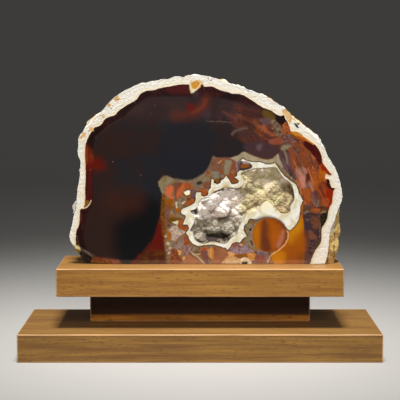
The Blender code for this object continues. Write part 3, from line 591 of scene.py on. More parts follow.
class StoneColours(bpy.types.PropertyGroup):
    """The swatches of the agate and its rind."""

    ink: swatch("Ink", "The dark chalcedony", 30, 30, 34)
    ink_cool: swatch("Cool ink", "The round lobe of the dark chalcedony", 29, 29, 34)
    ink_warm: swatch("Warm ink", "The dark chalcedony near the rind", 40, 28, 26)
    soot: swatch("Soot", "The darkest chalcedony", 15, 15, 16)
    pitch: swatch("Pitch", "Black in the band and in the holes", 28, 12, 10)
    bark: swatch("Bark", "Brownish black", 44, 27, 22)
    bark_red: swatch("Bark red", "The red wedge's brown", 62, 26, 12)
    umber: swatch("Umber", "Brown in the dark agate", 56, 36, 33)
    umber_gold: swatch("Gold umber", "Olive brown", 84, 50, 14)
    dusk: swatch("Dusk", "A dim red-brown glow", 60, 28, 18)
    dusk_red: swatch("Dusk red", "A dim red glow", 82, 36, 26)
    maroon: swatch("Maroon", "The band inside the rind", 58, 20, 18)
    maroon_deep: swatch("Deep maroon", "The dark lens on the right", 54, 11, 11)
    oxblood: swatch("Oxblood", "Red in the band", 74, 20, 20)
    garnet: swatch("Garnet", "Red chalcedony", 88, 17, 10)
    blood: swatch("Blood", "The bright red wedges", 134, 32, 7)
    ember: swatch("Ember", "Orange glow in the dark", 120, 48, 10)
    damson: swatch("Damson", "Violet in the dark", 74, 34, 46)
    plum: swatch("Plum", "Dark grey-purple", 58, 42, 48)
    plum_brown: swatch("Plum brown", "The purple-brown column", 68, 43, 40)
    plum_grey: swatch("Plum grey", "Grey-lilac", 98, 78, 78)
    plum_rose: swatch("Plum rose", "Purple in the moss agate", 106, 72, 70)
    mauve: swatch("Mauve", "The crescent", 96, 70, 76)
    lilac: swatch("Lilac", "Pale lilac", 150, 126, 126)
    lilac_violet: swatch("Violet lilac", "Violet below the hollow", 134, 112, 130)
    slate: swatch("Slate", "Blue-grey", 96, 92, 96)
    slate_dark: swatch("Dark slate", "The chipped crystals", 62, 58, 52)
    ash_dark: swatch("Dark ash", "A thin grey line", 62, 58, 58)
    driftwood: swatch("Driftwood", "Grey-brown", 112, 88, 74)
    walnut: swatch("Walnut", "Brown lines", 86, 54, 34)
    moss: swatch("Moss", "Brown moss agate", 132, 88, 48)
    moss_dark: swatch("Dark moss", "Darker moss agate", 92, 60, 42)
    moss_pink: swatch("Pink moss", "Smooth pinkish brown", 148, 96, 64)
    pale_moss: swatch("Pale moss", "Pale greenish cream", 205, 196, 160)
    olive: swatch("Olive", "Olive", 116, 96, 52)
    olive_dark: swatch("Dark olive", "Dark olive", 88, 64, 16)
    olive_black: swatch("Black olive", "Nearly black olive", 50, 42, 20)
    olive_grey: swatch("Olive grey", "Grey-green", 126, 114, 86)
    khaki: swatch("Khaki", "The darker part of the grey band", 142, 126, 100)
    stone_grey: swatch("Stone grey", "Grey in the moss", 130, 116, 94)
    beige: swatch("Beige", "The grey-beige band", 166, 148, 114)
    beige_dark: swatch("Dark beige", "A pale line", 140, 120, 86)
    rust_dark: swatch("Dark rust", "Dark red-brown", 94, 44, 26)
    rust: swatch("Rust", "Rust", 132, 66, 30)
    rust_light: swatch("Light rust", "Light rust", 170, 98, 62)
    rust_red: swatch("Red rust", "Red rust", 156, 60, 24)
    rust_brown: swatch("Brown rust", "Brown rust", 118, 70, 48)
    copper: swatch("Copper", "Orange-brown", 158, 82, 36)
    cinnamon: swatch("Cinnamon", "Dark orange-brown", 108, 56, 18)
    orange_rust: swatch("Orange rust", "Orange rust", 168, 82, 12)
    orange: swatch("Orange", "Clear orange", 184, 92, 10)
    scarlet: swatch("Scarlet", "Orange-red", 208, 86, 46)
    scarlet_dim: swatch("Dim scarlet", "Orange-red streaks", 178, 74, 38)
    amber: swatch("Amber", "Amber", 172, 100, 10)
    amber_deep: swatch("Deep amber", "Deep amber", 148, 76, 8)
    amber_bright: swatch("Bright amber", "Bright amber", 184, 118, 12)
    gold: swatch("Gold", "The gold crystals in the rind", 206, 140, 24)
    ochre_dark: swatch("Dark ochre", "Dark ochre", 124, 74, 18)
    ochre: swatch("Ochre", "Ochre", 176, 116, 50)
    ochre_light: swatch("Light ochre", "The natural skin's darker gold", 196, 152, 84)
    honey: swatch("Honey", "Honey", 208, 148, 84)
    sand: swatch("Sand", "Stains of the rind", 216, 176, 116)
    sand_gold: swatch("Gold sand", "The natural skin at the lower right", 242, 208, 128)
    lemon: swatch("Lemon", "The yellow crystals at the face", 240, 226, 178)
    peach: swatch("Peach", "The thin ring round the drop", 226, 160, 98)
    rose: swatch("Rose", "Pink", 186, 122, 102)
    rose_dark: swatch("Dark rose", "Dark pink", 138, 76, 62)
    lichen: swatch("Lichen", "Yellow on the chip", 186, 158, 48)
    cream_dark: swatch("Dark cream", "Dark cream", 186, 164, 126)
    chalk: swatch("Chalk", "The rind and the hollow's border", 230, 226, 214)
    chalk_grey: swatch("Grey chalk", "Shaded chalk", 190, 184, 174)
    chalk_warm: swatch("Warm chalk", "The rind's inner part", 226, 206, 172)


PATTERNS = {
    # name: (size in mm, detail, how much it is drawn out along x, y and z, turn round y)
    "fine": (1.7, 2, (1, 1, 1), 0),
    "medium": (5, 2, (1, 1, 1), 0),
    "broad": (22, 1, (1, 1, 1), 0),
    "plume": (4.5, 4, (3.5, 1, 1), 18),
    "plume_two": (2.6, 3, (3, 1, 1), 22),
    "moss_fine": (2.2, 4, (1, 1, 1), 0),
    "moss": (2.9, 4, (1, 1, 1.3), 0),
    "moss_two": (3.3, 4, (1, 1, 1.4), 0),
    "moss_three": (3.8, 4, (1.2, 1, 1), 0),
    "flame": (2.4, 3, (1, 1, 5), -24),
    "flame_two": (3.0, 3, (1, 1, 4.5), -20),
    "flame_three": (3.2, 2, (1, 1, 4), -28),
    "upright": (2.2, 2, (1, 1, 6), 0),
    "level": (3.0, 2, (3.5, 1, 1), 0),
}


class StoneSettings(bpy.types.PropertyGroup):
    """The sizes and colours of the stone."""

    colours: bpy.props.PointerProperty(type=StoneColours)
    cells: bpy.props.IntProperty(
        name="Cells", description="Cells across the face's grid", default=224, min=16
    )
    rim_wander: length("Rim wander", "How far the face's outline wanders", 0.35)
    rind_step: length("Rind step", "How far the chalky rind lies behind the polish", 0.25)
    rind_relief: length("Rind relief", "The height of the rind's own roughness", 0.2)
    skin_grain: length("Skin grain", "The height of the natural skin's small lumps", 0.9)


class CrystalSettings(bpy.types.PropertyGroup):
    """The sizes and colours of the crystals that line the hollow."""

    spacing: length("Spacing", "The distance between crystals", 1.7)
    depth: length("Depth", "How deep the lining lies in the middle of the hollow", 7.5)
    radius: length("Radius", "The half width of a crystal", 0.85)
    rise: length("Rise", "How far a crystal stands out", 0.42)
    clearness: bpy.props.FloatProperty(
        name="Clearness", description="How much light passes through the quartz",
        default=0.04, min=0.0, max=1.0, subtype="FACTOR",
    )
    milky: swatch("Milky", "The white quartz on the left", 250, 243, 234)
    pinkish: swatch("Pinkish", "The pinkish quartz", 247, 231, 220)
    # Greyish paints the lower left of the hollow greyer, as shade under the lumps above
    greyish: swatch("Greyish", "The grey quartz low on the left", 172, 164, 146)
    honeyed: swatch("Honeyed", "The beige quartz on the right", 224, 206, 172)
    mossy: swatch("Mossy", "The olive quartz", 188, 176, 130)
    lemon: swatch("Lemon", "The yellow lump", 244, 230, 178)
    tan: swatch("Tan", "The browner quartz at the right end", 164, 142, 106)
    # Umber paints shade in the crevices; shadow and slot grey paint shade in the slot and on the low floor
    umber: swatch("Umber", "The crevices", 84, 54, 30)
    # Painted shade, brown between the clumps where the lining sinks
    cranny_shade: swatch("Cranny", "The brown between the clumps", 112, 82, 52)
    shadow: swatch("Shadow", "The dark slot", 62, 54, 36)
    slot_grey: swatch("Slot grey", "The darker grey quartz", 120, 110, 90)


class WoodSettings(bpy.types.PropertyGroup):
    """The colours of the stand."""

    top_light: swatch("Top board, light", "The upper board's pale wood", 162, 115, 44)
    top_dark: swatch("Top board, dark", "The upper board's dark streaks", 132, 86, 28)
    base_light: swatch("Base board, light", "The lower board's pale wood", 144, 104, 38)
    base_dark: swatch("Base board, dark", "The lower board's dark streaks", 108, 70, 22)
    neck_light: swatch("Neck, light", "The neck's pale wood", 200, 130, 46)
    neck_dark: swatch("Neck, dark", "The neck's dark streaks", 140, 84, 26)
    # The top board's shadow, painted on the neck's upper part
    neck_shadow: swatch("Neck shadow", "The darkened upper part of the neck", 56, 28, 8)
    # Pale wood of flecks and scuffed edges, also painted highlight on the edges and on the boards' tops
    worn_and_highlit: swatch("Worn edge and highlight", "Wood along the worn edges", 232, 184, 134)
    pore: swatch("Pore", "The small dark pores", 92, 56, 24)


class StageSettings(bpy.types.PropertyGroup):
    """The floor, the lights and the camera."""

    floor: swatch("Floor", "The pale floor", 178, 175, 170)
    key_power: bpy.props.FloatProperty(
        name="Key light", description="The light above, in watts", default=1.45, min=0.0
    )
    front_power: bpy.props.FloatProperty(
        name="Front light", description="The light in front, in watts", default=0.27, min=0.0
    )
    air: bpy.props.FloatProperty(
        name="Air", description="The strength of the light from all round", default=0.12, min=0.0
    )


class GeodeSettings(bpy.types.PropertyGroup):
    """All the settings of the geode."""

    stone: bpy.props.PointerProperty(type=StoneSettings)
    crystals: bpy.props.PointerProperty(type=CrystalSettings)
    wood: bpy.props.PointerProperty(type=WoodSettings)
    stage: bpy.props.PointerProperty(type=StageSettings)


NOISE_SWING = 3.4  # turns noise round 0.5 into a pattern from about -1 to 1
NOISE_RANGE = (0.35, 0.65)  # where nearly all of a noise lies


class Value:
    """A shader socket, used in expressions that add the Math nodes they need."""

    def __init__(self, finish, socket):
        self.finish = finish
        self.socket = socket

    def combine(self, operation, *others):
        sockets = dict(enumerate((self, *others)))
        return self.finish.node("ShaderNodeMath", {"operation": operation}, sockets)

    def __add__(self, other):
        return self.combine("ADD", other)

    __radd__ = __add__

    def __sub__(self, other):
        return self.combine("SUBTRACT", other)

    def __rsub__(self, other):
        return self.combine("MULTIPLY", -1.0).combine("ADD", other)

    def __mul__(self, other):
        return self.combine("MULTIPLY", other)

    __rmul__ = __mul__


def swung(spread):
    """Noise round 0.5 as a pattern from about -1 to 1."""
    return (spread - 0.5) * NOISE_SWING


class Finish:
    """A material that is being made, with one Principled shader."""

    def __init__(self, name):
        self.material = bpy.data.materials.new(name)
        self.material.use_nodes = True
        self.tree = self.material.node_tree
        self.shader = self.tree.nodes["Principled BSDF"]

    def node(self, kind, settings=None, sockets=None, output=0):
        """Adds a node, with its settings first and then its sockets, and gives one output."""
        made = self.tree.nodes.new(kind)
        for key, setting in (settings or {}).items():
            setattr(made, key, setting)
        for key, given in (sockets or {}).items():
            self.plug(made.inputs[key], given)
        return Value(self, made.outputs[output])

    def plug(self, socket, given):
        if isinstance(given, Value):
            self.tree.links.new(given.socket, socket)
        elif socket.type == "RGBA":
            socket.default_value = (*given, 1.0)
        else:
            socket.default_value = given

    def set(self, **sockets):
        """Sets or links the shader's own sockets, named with _ for a space."""
        for name, given in sockets.items():
            self.plug(self.shader.inputs[name.replace("_", " ")], given)

    def attribute(self, name):
        return self.node("ShaderNodeAttribute", {"attribute_name": name}, output="Fac")

    def blend(self, share, low, high):
        """A colour between two."""
        sockets = {0: share, 6: low, 7: high}
        return self.node("ShaderNodeMix", {"data_type": "RGBA"}, sockets, output=2)

    def grouped(self, name, inputs, draw):
        """Makes a part of the finish in a node group: a colour from a colour and noises."""
        group = bpy.data.node_groups.new(name, "ShaderNodeTree")
        for key in inputs:
            kind = "NodeSocketColor" if key == "Color" else "NodeSocketFloat"
            group.interface.new_socket(key, in_out="INPUT", socket_type=kind)
        group.interface.new_socket("Color", in_out="OUTPUT", socket_type="NodeSocketColor")
        whole, self.tree = self.tree, group
        entry = group.nodes.new("NodeGroupInput")
        result = draw({key: Value(self, entry.outputs[key]) for key in inputs})
        self.plug(group.nodes.new("NodeGroupOutput").inputs["Color"], result)
        self.tree = whole
        return self.node("ShaderNodeGroup", {"node_tree": group}, inputs)

    def mottle(self, colour, noises, tints):
        """A colour with patches of more tints, each of which follows a noise of its own."""
        for spread, tint in zip(noises, tints):
            colour = self.blend(self.rise(spread, *NOISE_RANGE), colour, tint)
        return colour

    def rise(self, value, low, high):
        """0 to 1, smoothly, as a value goes from low to high."""
        sockets = {"Value": value, "From Min": low, "From Max": high}
        return self.node("ShaderNodeMapRange", {"interpolation_type": "SMOOTHSTEP"}, sockets)

    def vector(self, operation, *values):
        return self.node("ShaderNodeVectorMath", {"operation": operation}, dict(enumerate(values)))

    def axes(self, place):
        """A place's x, y and z."""
        split = self.node("ShaderNodeSeparateXYZ", None, {0: place})
        return [Value(self, output) for output in split.socket.node.outputs]

    def place(self):
        """The object's own coordinates, in mm."""
        here = self.node("ShaderNodeTexCoord", output="Object")
        sockets = {"Vector": here, "Scale": (1 / MM,) * 3}
        return self.node("ShaderNodeMapping", {"vector_type": "POINT"}, sockets)

    def noise(self, place, size, detail=2, stretch=(1, 1, 1), turn=0, shift=0.0, swirl=0.0):
        """Noise round 0.5, with features of a size in mm."""
        settings = {"vector_type": "TEXTURE"}
        sockets = {
            "Vector": place,
            "Location": (shift, shift, shift),
            "Rotation": (0, math.radians(turn), 0),
            "Scale": stretch,
        }
        turned = self.node("ShaderNodeMapping", settings, sockets)
        sockets = {"Vector": turned, "Scale": 1 / size, "Detail": detail, "Roughness": 0.55}
        return self.node("ShaderNodeTexNoise", None, {**sockets, "Distortion": swirl})

    def pattern(self, *settings, **more):
        """Noise from about -1 to 1, with features of a size in mm."""
        return swung(self.noise(*settings, **more))

    def bump(self, height, distance, strength=1.0):
        """A normal for relief whose height is in mm."""
        sockets = {"Height": height, "Distance": distance * MM, "Strength": strength}
        return self.node("ShaderNodeBump", None, sockets)


def on_face(pixels):
    """Pixels of the photograph as mm on the polished face."""
    return (np.array([p[:2] for p in pixels], float) - FLAT_PX) * (PIXEL, -PIXEL)


def smooth_loop(points, steps, closed=True):
    """A curve through the points, with this many parts from each to the next."""
    points = np.asarray(points, float)
    count = len(points)

    def pick(i):
        return points[i % count if closed else min(max(i, 0), count - 1)]

    curve = []
    for i in range(count if closed else count - 1):
        before, here, after, beyond = (pick(i + k) for k in (-1, 0, 1, 2))
        for step in range(steps):
            t = step / steps
            bend = (2 * before - 5 * here + 4 * after - beyond) * t * t
            twist = (3 * here - 3 * after + beyond - before) * t**3
            curve.append(0.5 * (2 * here + (after - before) * t + bend + twist))
    if not closed:
        curve.append(points[-1])
    return np.array(curve)


def line_distance(places, corners):
    """How far each place is from a line of corners, in mm."""
    best = np.full(len(places), np.inf)
    for start, end in zip(corners[:-1], corners[1:]):
        along = end - start
        share = np.clip((places - start) @ along / max(along @ along, 1e-9), 0, 1)
        apart = places - start - share[:, None] * along
        best = np.minimum(best, np.hypot(apart[:, 0], apart[:, 1]))
    return best


def inside_loop(places, loop):
    """Whether each place lies in the loop, by how many of its sides a line to the right crosses."""
    inside = np.zeros(len(places), bool)
    for start, end in zip(loop, np.roll(loop, -1, axis=0)):
        if start[1] == end[1]:
            continue
        spans = (start[1] > places[:, 1]) != (end[1] > places[:, 1])
        crossing = start[0] + (places[:, 1] - start[1]) / (end[1] - start[1]) * (end[0] - start[0])
        inside ^= spans & (crossing > places[:, 0])
    return inside


def loop_distance(places, loop):
    """How far inside a closed loop each place is, in mm, and below 0 outside it."""
    apart = line_distance(places, np.vstack((loop, loop[:1])))
    return np.where(inside_loop(places, loop), apart, -apart)


def marking_distance(marking, places):
    """How far inside a marking each place on the face is, in mm."""
    pixels = marking.pixels()
    corners = on_face(pixels)
    if marking.shape == "spots":
        radii = [p[2] * PIXEL for p in pixels]
        return np.max([r - np.hypot(*(places - c).T) for c, r in zip(corners, radii)], axis=0)
    if marking.shape == "line":
        steps = CURVE_STEPS if marking.rounded else 1
        return marking.width / 2 - line_distance(places, smooth_loop(corners, steps, False))
    loop = smooth_loop(corners, CURVE_STEPS) if marking.rounded else corners
    distance = loop_distance(places, loop) + marking.grow
    return -distance if marking.shape == "outside" else distance


def add_attribute(mesh, name, values):
    layer = mesh.attributes.new(name, "FLOAT", "POINT")
    layer.data.foreach_set("value", values.astype(np.float32))


FAR_AWAY = -60.0  # in mm, for places that a marking doesn't reach


def add_distances(mesh, markings, places, chosen):
    """Gives the mesh an attribute for each marking, at its chosen vertices."""
    for marking in markings:
        values = np.full(len(places), FAR_AWAY, np.float32)
        near = chosen
        if marking.shape != "outside":
            margin = 4 * (marking.soft + marking.ragged) + marking.grow + 3
            pixels = marking.pixels()
            reach = [p[2] * PIXEL if len(p) > 2 else marking.width for p in pixels]
            corners = on_face(pixels)
            low = corners.min(axis=0) - max(reach) - margin
            high = corners.max(axis=0) + max(reach) + margin
            near = chosen & np.all((places > low) & (places < high), axis=1)
        values[near] = marking_distance(marking, places[near])
        add_attribute(mesh, marking.name, values)


MARKINGS_TOGETHER = 20  # how many markings share a node group, so that it stays quick to make


def lay_markings(finish, colour, markings, colours, patterns):
    """Draws the markings over a colour, in their order."""
    for start in range(0, len(markings), MARKINGS_TOGETHER):
        batch = markings[start : start + MARKINGS_TOGETHER]
        used = {"fine"}
        for marking in batch:
            used |= {marking.grain, marking.mottle, *marking.patches[:1]}
        inputs = {"Color": colour, **{name: patterns[name] for name in sorted(used)}}
        colour = finish.grouped(
            f"from_{batch[0].name}",
            inputs,
            lambda inner: draw_markings(finish, inner, batch, colours),
        )
    return colour


def draw_markings(finish, patterns, markings, colours):
    """The colour among the patterns, with the markings over it."""
    colour = patterns["Color"]
    for marking in markings:
        sway = marking.ragged * NOISE_SWING
        edge = patterns[marking.grain].combine("MULTIPLY_ADD", sway, finish.attribute(marking.name))
        cover = finish.rise(edge, sway / 2 - marking.soft, sway / 2 + marking.soft)
        if marking.patches:
            pattern, low, high = marking.patches
            low, high = (0.5 + level / NOISE_SWING for level in (low, high))
            cover = cover * finish.rise(patterns[pattern], low, high)
        if marking.cover < 1:
            cover = cover * marking.cover
        tints = [getattr(colours, tint) for tint in marking.tints.split()]
        noises = (patterns[marking.mottle], patterns["fine"])
        tint = finish.mottle(tints[0], noises, tints[1:])
        colour = finish.blend(cover, colour, tint)
    return colour


class PolarOutline:
    """A closed outline as its radius round CENTRE at any angle."""

    def __init__(self, points):
        loop = smooth_loop(points, RIM_STEPS) - CENTRE
        angles = np.arctan2(loop[:, 1], loop[:, 0])
        order = np.argsort(angles)
        self.angles = angles[order]
        self.radii = np.hypot(loop[order, 0], loop[order, 1])

    def radius(self, angle):
        return np.interp(angle, self.angles, self.radii, period=2 * math.pi)

    def soft_radius(self, angle):
        """The radius without the outline's small bumps."""
        spread = np.linspace(-SOFT_SPAN, SOFT_SPAN, SOFT_SAMPLES)
        return self.radius(angle[:, None] + spread).mean(axis=1)


def ramp(value):
    """0 below 0, 1 above 1, and smooth between."""
    value = np.clip(value, 0.0, 1.0)
    return value * value * (3 - 2 * value)


def skin_relief(point):
    """How far the nodule's rough skin stands out at a point in mm, as in the solids."""
    lumps = noise.fractal(point / LUMP_SIZE, 1.0, 2.0, 2)
    level = (noise.noise(point / LEDGE_SIZE) + 0.5) * LEDGES
    step = ramp((level % 1.0 - 0.5) * LEDGE_STEEPNESS + 0.5)
    ledge = (math.floor(level) + step) / LEDGES - 0.5
    pits = min(noise.noise(point / PIT_SIZE) + PIT_SPARSENESS, 0.0)
    return LUMP_HEIGHT * lumps + LEDGE_HEIGHT * ledge + PIT_DEPTH * pits - SKIN_DRAWN_IN


# In mm: the skin's small lumps and pits, the depth over which they begin, and the rim's wander
GRAIN_SIZE, GRAIN_FINE = 3.6, 1.5
GRAIN_RAMP = 2.0
WANDER_SIZE = 2.6


def skin_grain(point, height):
    """The finer lumps and pits that the solids leave out, in mm."""
    lumps = noise.fractal(point / GRAIN_SIZE, 0.9, 2.0, 3)
    pits = min(noise.noise(point / GRAIN_FINE) + 0.1, 0.0)
    return height * (lumps + 0.9 * pits)


def disc_grid(cells):
    """A grid whose square has become a disc of radius 1, with its points' polar places."""
    bm = bmesh.new()
    bmesh.ops.create_grid(bm, x_segments=cells, y_segments=cells, size=1)
    square = np.array([v.co[:2] for v in bm.verts])
    x, z = square.T
    round_x = x * np.sqrt(1 - z * z / 2)
    round_z = z * np.sqrt(1 - x * x / 2)
    return bm, np.arctan2(round_z, round_x), np.minimum(np.round(np.hypot(round_x, round_z), 6), 1)


def wander(angle, radius, amount):
    """How far the outline wanders in or out at an angle."""
    return np.array([
        amount * noise.fractal(Vector((math.cos(a), math.sin(a), 0)) * r / WANDER_SIZE, 0.8, 2.0, 3)
        for a, r in zip(angle, radius)
    ])


def front_places(angle, disc, face, wandering):
    """The flat sawn face, from its middle at disc 0 to its rim at 1."""
    radius = face.radius(angle)
    radius = (radius + wander(angle, radius, wandering)) * disc
    return np.column_stack((
        CENTRE[0] + radius * np.cos(angle), np.zeros(len(angle)), CENTRE[1] + radius * np.sin(angle)
    ))


def back_places(angle, disc, face, body, wandering, grain):
    """The nodule's natural surface, from its rim at disc 1 to the middle of its back at 0."""
    turn = (1 - disc) ** RING_SPREAD * math.pi / 2
    depth = NODULE_DEPTH * np.sin(turn) ** (2 / BACK_SQUARENESS)
    shrink = np.maximum(np.cos(turn), 0) ** (2 / RIM_SQUARENESS)
    shrink[disc == 1] = 1.0
    depth[disc == 1] = 0.0
    blend = ramp(depth / FACE_TO_BODY)
    radius = face.radius(angle) * (1 - blend) + body.radius(angle) * blend
    radius += wander(angle, face.radius(angle), wandering) * (1 - ramp(depth / SKIN_RAMP))
    radius += (body.soft_radius(angle) - radius) * ramp(depth / SOFT_DEPTH)
    places = np.column_stack((
        CENTRE[0] + radius * shrink * np.cos(angle),
        depth,
        CENTRE[1] + POLE_RISE * (1 - shrink) + radius * shrink * np.sin(angle),
    ))
    outward = places - (CENTRE[0], 0, CENTRE[1])
    outward /= np.linalg.norm(outward, axis=1)[:, None]
    relief = np.array([skin_relief(Vector(p)) for p in places]) * ramp(depth / SKIN_RAMP)
    relief += np.array([skin_grain(Vector(p), grain) for p in places]) * ramp(depth / GRAIN_RAMP)
    return places + outward * relief[:, None]


# The stone's materials: the polished face has one on each side of its seam
FACE_SLOT, SKIN_SLOT, HOLLOW_SLOT, FLAT_SLOT, RIGHT_SLOT = range(5)


def build_nodule(settings):
    """The closed nodule in mm: its flat face, its natural back, and the flat it stands on."""
    face, body = PolarOutline(ARCH + FACE_FOOT), PolarOutline(ARCH + BODY_FOOT)
    wandering = settings.rim_wander / MM
    bm, angle, disc = disc_grid(settings.cells)
    for vert, place in zip(bm.verts, front_places(angle, disc, face, wandering)):
        vert.co = place
    back, angle, disc = disc_grid(settings.cells)
    places = back_places(angle, disc, face, body, wandering, settings.skin_grain / MM)
    for vert, place in zip(back.verts, places):
        vert.co = place
    for cell in back.faces:
        cell.material_index = SKIN_SLOT
    half = bpy.data.meshes.new("back_half")
    back.to_mesh(half)
    back.free()
    bm.from_mesh(half)
    bpy.data.meshes.remove(half)
    rim = [v for v in bm.verts if v.is_boundary]
    bmesh.ops.remove_doubles(bm, verts=rim, dist=0.01)
    bmesh.ops.bisect_plane(
        bm,
        geom=bm.verts[:] + bm.edges[:] + bm.faces[:],
        plane_co=(0, 0, 0),
        plane_no=(0, 0, 1),
        clear_inner=True,
    )
    flat = bmesh.ops.holes_fill(bm, edges=[e for e in bm.edges if e.is_boundary], sides=0)
    for cell in flat["faces"]:
        cell.material_index = FLAT_SLOT
    bmesh.ops.recalc_face_normals(bm, faces=bm.faces[:])
    return bm


def only(found, kind):
    """What is of one kind among what an operator of bmesh made."""
    return [item for item in found if isinstance(item, kind)]


def spread_points(loop, spacing, shake, margin, seed):
    """Places spread evenly and a little unevenly inside a loop, clear of its edge."""
    pick = random.Random(seed)
    low, high = loop.min(axis=0), loop.max(axis=0)
    row_height = spacing * math.sqrt(3) / 2
    wobble = shake * spacing
    points = [
        (
            low[0] + (column + 0.5 * (row % 2)) * spacing + pick.uniform(-wobble, wobble),
            low[1] + row * row_height + pick.uniform(-wobble, wobble),
        )
        for row in range(int((high[1] - low[1]) / row_height) + 1)
        for column in range(int((high[0] - low[0]) / spacing) + 1)
    ]
    points = np.array(points)
    return points[loop_distance(points, loop) > margin]


def flat_surface(loop, inner):
    """A bmesh of triangles inside a loop, flat at y 0, through the inner points."""
    outline = [Vector(p) for p in loop]
    edges = [(i, (i + 1) % len(outline)) for i in range(len(outline))]
    every = outline + [Vector(p) for p in inner]
    found = delaunay_2d_cdt(every, edges, [list(range(len(outline)))], 1, 1e-5)
    bm = bmesh.new()
    verts = [bm.verts.new((p.x, 0, p.y)) for p in found[0]]
    for corners in found[2]:
        bm.faces.new([verts[i] for i in corners])
    bmesh.ops.recalc_face_normals(bm, faces=bm.faces[:])
    return bm


def thicken(bm, back_depth, front_depth):
    """Makes a flat surface a closed solid between two depths, given as functions of places."""
    back = bm.verts[:]
    grown = bmesh.ops.extrude_face_region(bm, geom=bm.faces[:])["geom"]
    front = only(grown, bmesh.types.BMVert)
    for verts, depth in ((back, back_depth), (front, front_depth)):
        places = np.array([(v.co.x, v.co.z) for v in verts])
        for vert, y in zip(verts, depth(places)):
            vert.co.y = y
    bmesh.ops.recalc_face_normals(bm, faces=bm.faces[:])


def build_pocket_cutter():
    """What is cut out of the stone for the hollow, in mm."""
    loop = smooth_loop(POCKET_MOUTH, CURVE_STEPS)
    inner = spread_points(loop, CUTTER_SPACING, CUTTER_SHAKE, CUTTER_MARGIN, CUTTER_SEED)
    bm = flat_surface(loop, inner)

    def depth(places):
        wall = np.maximum(loop_distance(places, loop), 0)
        return POCKET_LIP + (POCKET_DEPTH - POCKET_LIP) * (1 - np.exp(-wall / POCKET_CURVE))

    thicken(bm, depth, lambda places: np.full(len(places), -CUTTER_REACH))
    for cell in bm.faces:
        cell.material_index = HOLLOW_SLOT
    return bm


def object_from(name, bm, materials=()):
    """An object from a bmesh, with its materials."""
    mesh = bpy.data.meshes.new(name)
    bm.to_mesh(mesh)
    bm.free()
    for material in materials:
        mesh.materials.append(material)
    item = bpy.data.objects.new(name, mesh)
    bpy.context.scene.collection.objects.link(item)
    return item


def subtract(item, cutter):
    """Cuts one object out of another for good, and removes the cutter."""
    cut = item.modifiers.new("cut", "BOOLEAN")
    cut.operation = "DIFFERENCE"
    cut.solver = "EXACT"
    cut.object = cutter
    depsgraph = bpy.context.evaluated_depsgraph_get()
    made = bpy.data.meshes.new_from_object(item.evaluated_get(depsgraph))
    item.modifiers.clear()
    old = item.data
    item.data = made
    bpy.data.meshes.remove(old)
    used = cutter.data
    bpy.data.objects.remove(cutter)
    bpy.data.meshes.remove(used)
    made.name = item.name


def vertex_places(mesh):
    places = np.empty(len(mesh.vertices) * 3, np.float32)
    mesh.vertices.foreach_get("co", places)
    return places.reshape(-1, 3).astype(float)


def move_vertices(mesh, places):
    mesh.vertices.foreach_set("co", places.astype(np.float32).ravel())
    mesh.update()


def put_in_place(mesh):
    """Turns a mesh in the stone's mm into metres, where the stone stands."""
    move_vertices(mesh, vertex_places(mesh) * MM + (0, FACE_Y, FLAT_Z))


ON_FACE = 0.01  # in mm, how near the face's plane a vertex of it lies
RIND_GRAIN = 1.6  # in mm, the size of its roughness
STEP_RAMP, ROUGH_RAMP = 0.9, 1.2  # in mm, over which the rind steps back and grows rough
RIND_PROUD = 0.2  # in mm, how far it may stand before the polish


def carve_rind(mesh, settings):
    """Sets the chalky rind a little behind the polish, and makes it rough."""
    places = vertex_places(mesh)
    on_plane = np.abs(places[:, 1]) < ON_FACE
    beyond = marking_distance(RIND, places[on_plane][:, (0, 2)])
    step = settings.rind_step / MM * ramp(beyond / STEP_RAMP + 0.5)
    rough = [noise.fractal(Vector(p) / RIND_GRAIN, 0.8, 2.0, 3) for p in places[on_plane]]
    rough = settings.rind_relief / MM * np.array(rough) * ramp(beyond / ROUGH_RAMP)
    places[on_plane, 1] += np.maximum(step + rough, -RIND_PROUD)
    move_vertices(mesh, places)
    return on_plane


SWIRL = 0.5  # how much the stone's noises are distorted
NOISE_SHIFT = 17.0  # in mm, from one noise to the next, so that none is like another


def stone_patterns(finish, place, names):
    """The named noises, each a little swirled."""
    made = {}
    for count, name in enumerate(names):
        size, detail, stretch, turn = PATTERNS[name]
        made[name] = finish.noise(place, size, detail, stretch, turn, NOISE_SHIFT * count, SWIRL)
    return made


SEAM_PX = 204  # where the polished face is parted in two, each with the markings that touch it
SEAM_REACH_PX = 7  # how far beyond its points a marking may still touch the other half


def polish_finish(colours, name, side):
    """The sawn face, left (side -1) or right (1) of the seam: polished agate in a chalky rind."""

    def touching(markings):
        return [m for m in markings if max(side * (p[0] - SEAM_PX) for p in m.pixels()) > -m.reach()]

    finish = Finish(name)
    place = finish.place()
    patterns = stone_patterns(finish, place, PATTERNS)
    colour = finish.mottle(colours.ink, [patterns["broad"]], [colours.ink_warm])
    colour = lay_markings(finish, colour, touching(FACE_MARKINGS), colours, patterns)
    fine, medium = swung(patterns["fine"]), swung(patterns["medium"])
    beyond = finish.attribute("rind") + fine * 0.25
    rind = finish.rise(beyond, -0.25, 0.25)
    outer = finish.rise(beyond + medium * 1.2, -0.4, 3.0)
    chalk = finish.blend(outer, colours.chalk_warm, colours.chalk)
    cream = finish.rise(medium + fine * 0.5, -0.5, 1.0) * 0.6
    chalk = finish.blend(cream, chalk, colours.chalk_warm)
    stain = finish.rise(medium + fine * 0.4, 0.7, 1.2) * 0.45
    chalk = finish.blend(stain, chalk, colours.sand)
    colour = finish.blend(rind, colour, chalk)
    colour = lay_markings(finish, colour, touching(RIND_MARKINGS), colours, patterns)
    white = finish.rise(finish.attribute("white_border"), -0.3, 0.3)
    roughness = FACE_GLOSS + white * (BORDER_GLOSS - FACE_GLOSS)
    roughness = roughness * (1 - rind) + rind * RIND_ROUGHNESS
    grit = finish.pattern(place, 0.7, 3)
    finish.set(
        Base_Color=colour,
        Roughness=roughness,
        IOR=1.54,
        Normal=finish.bump(grit * rind, 0.25, 0.8),
    )
    return finish.material


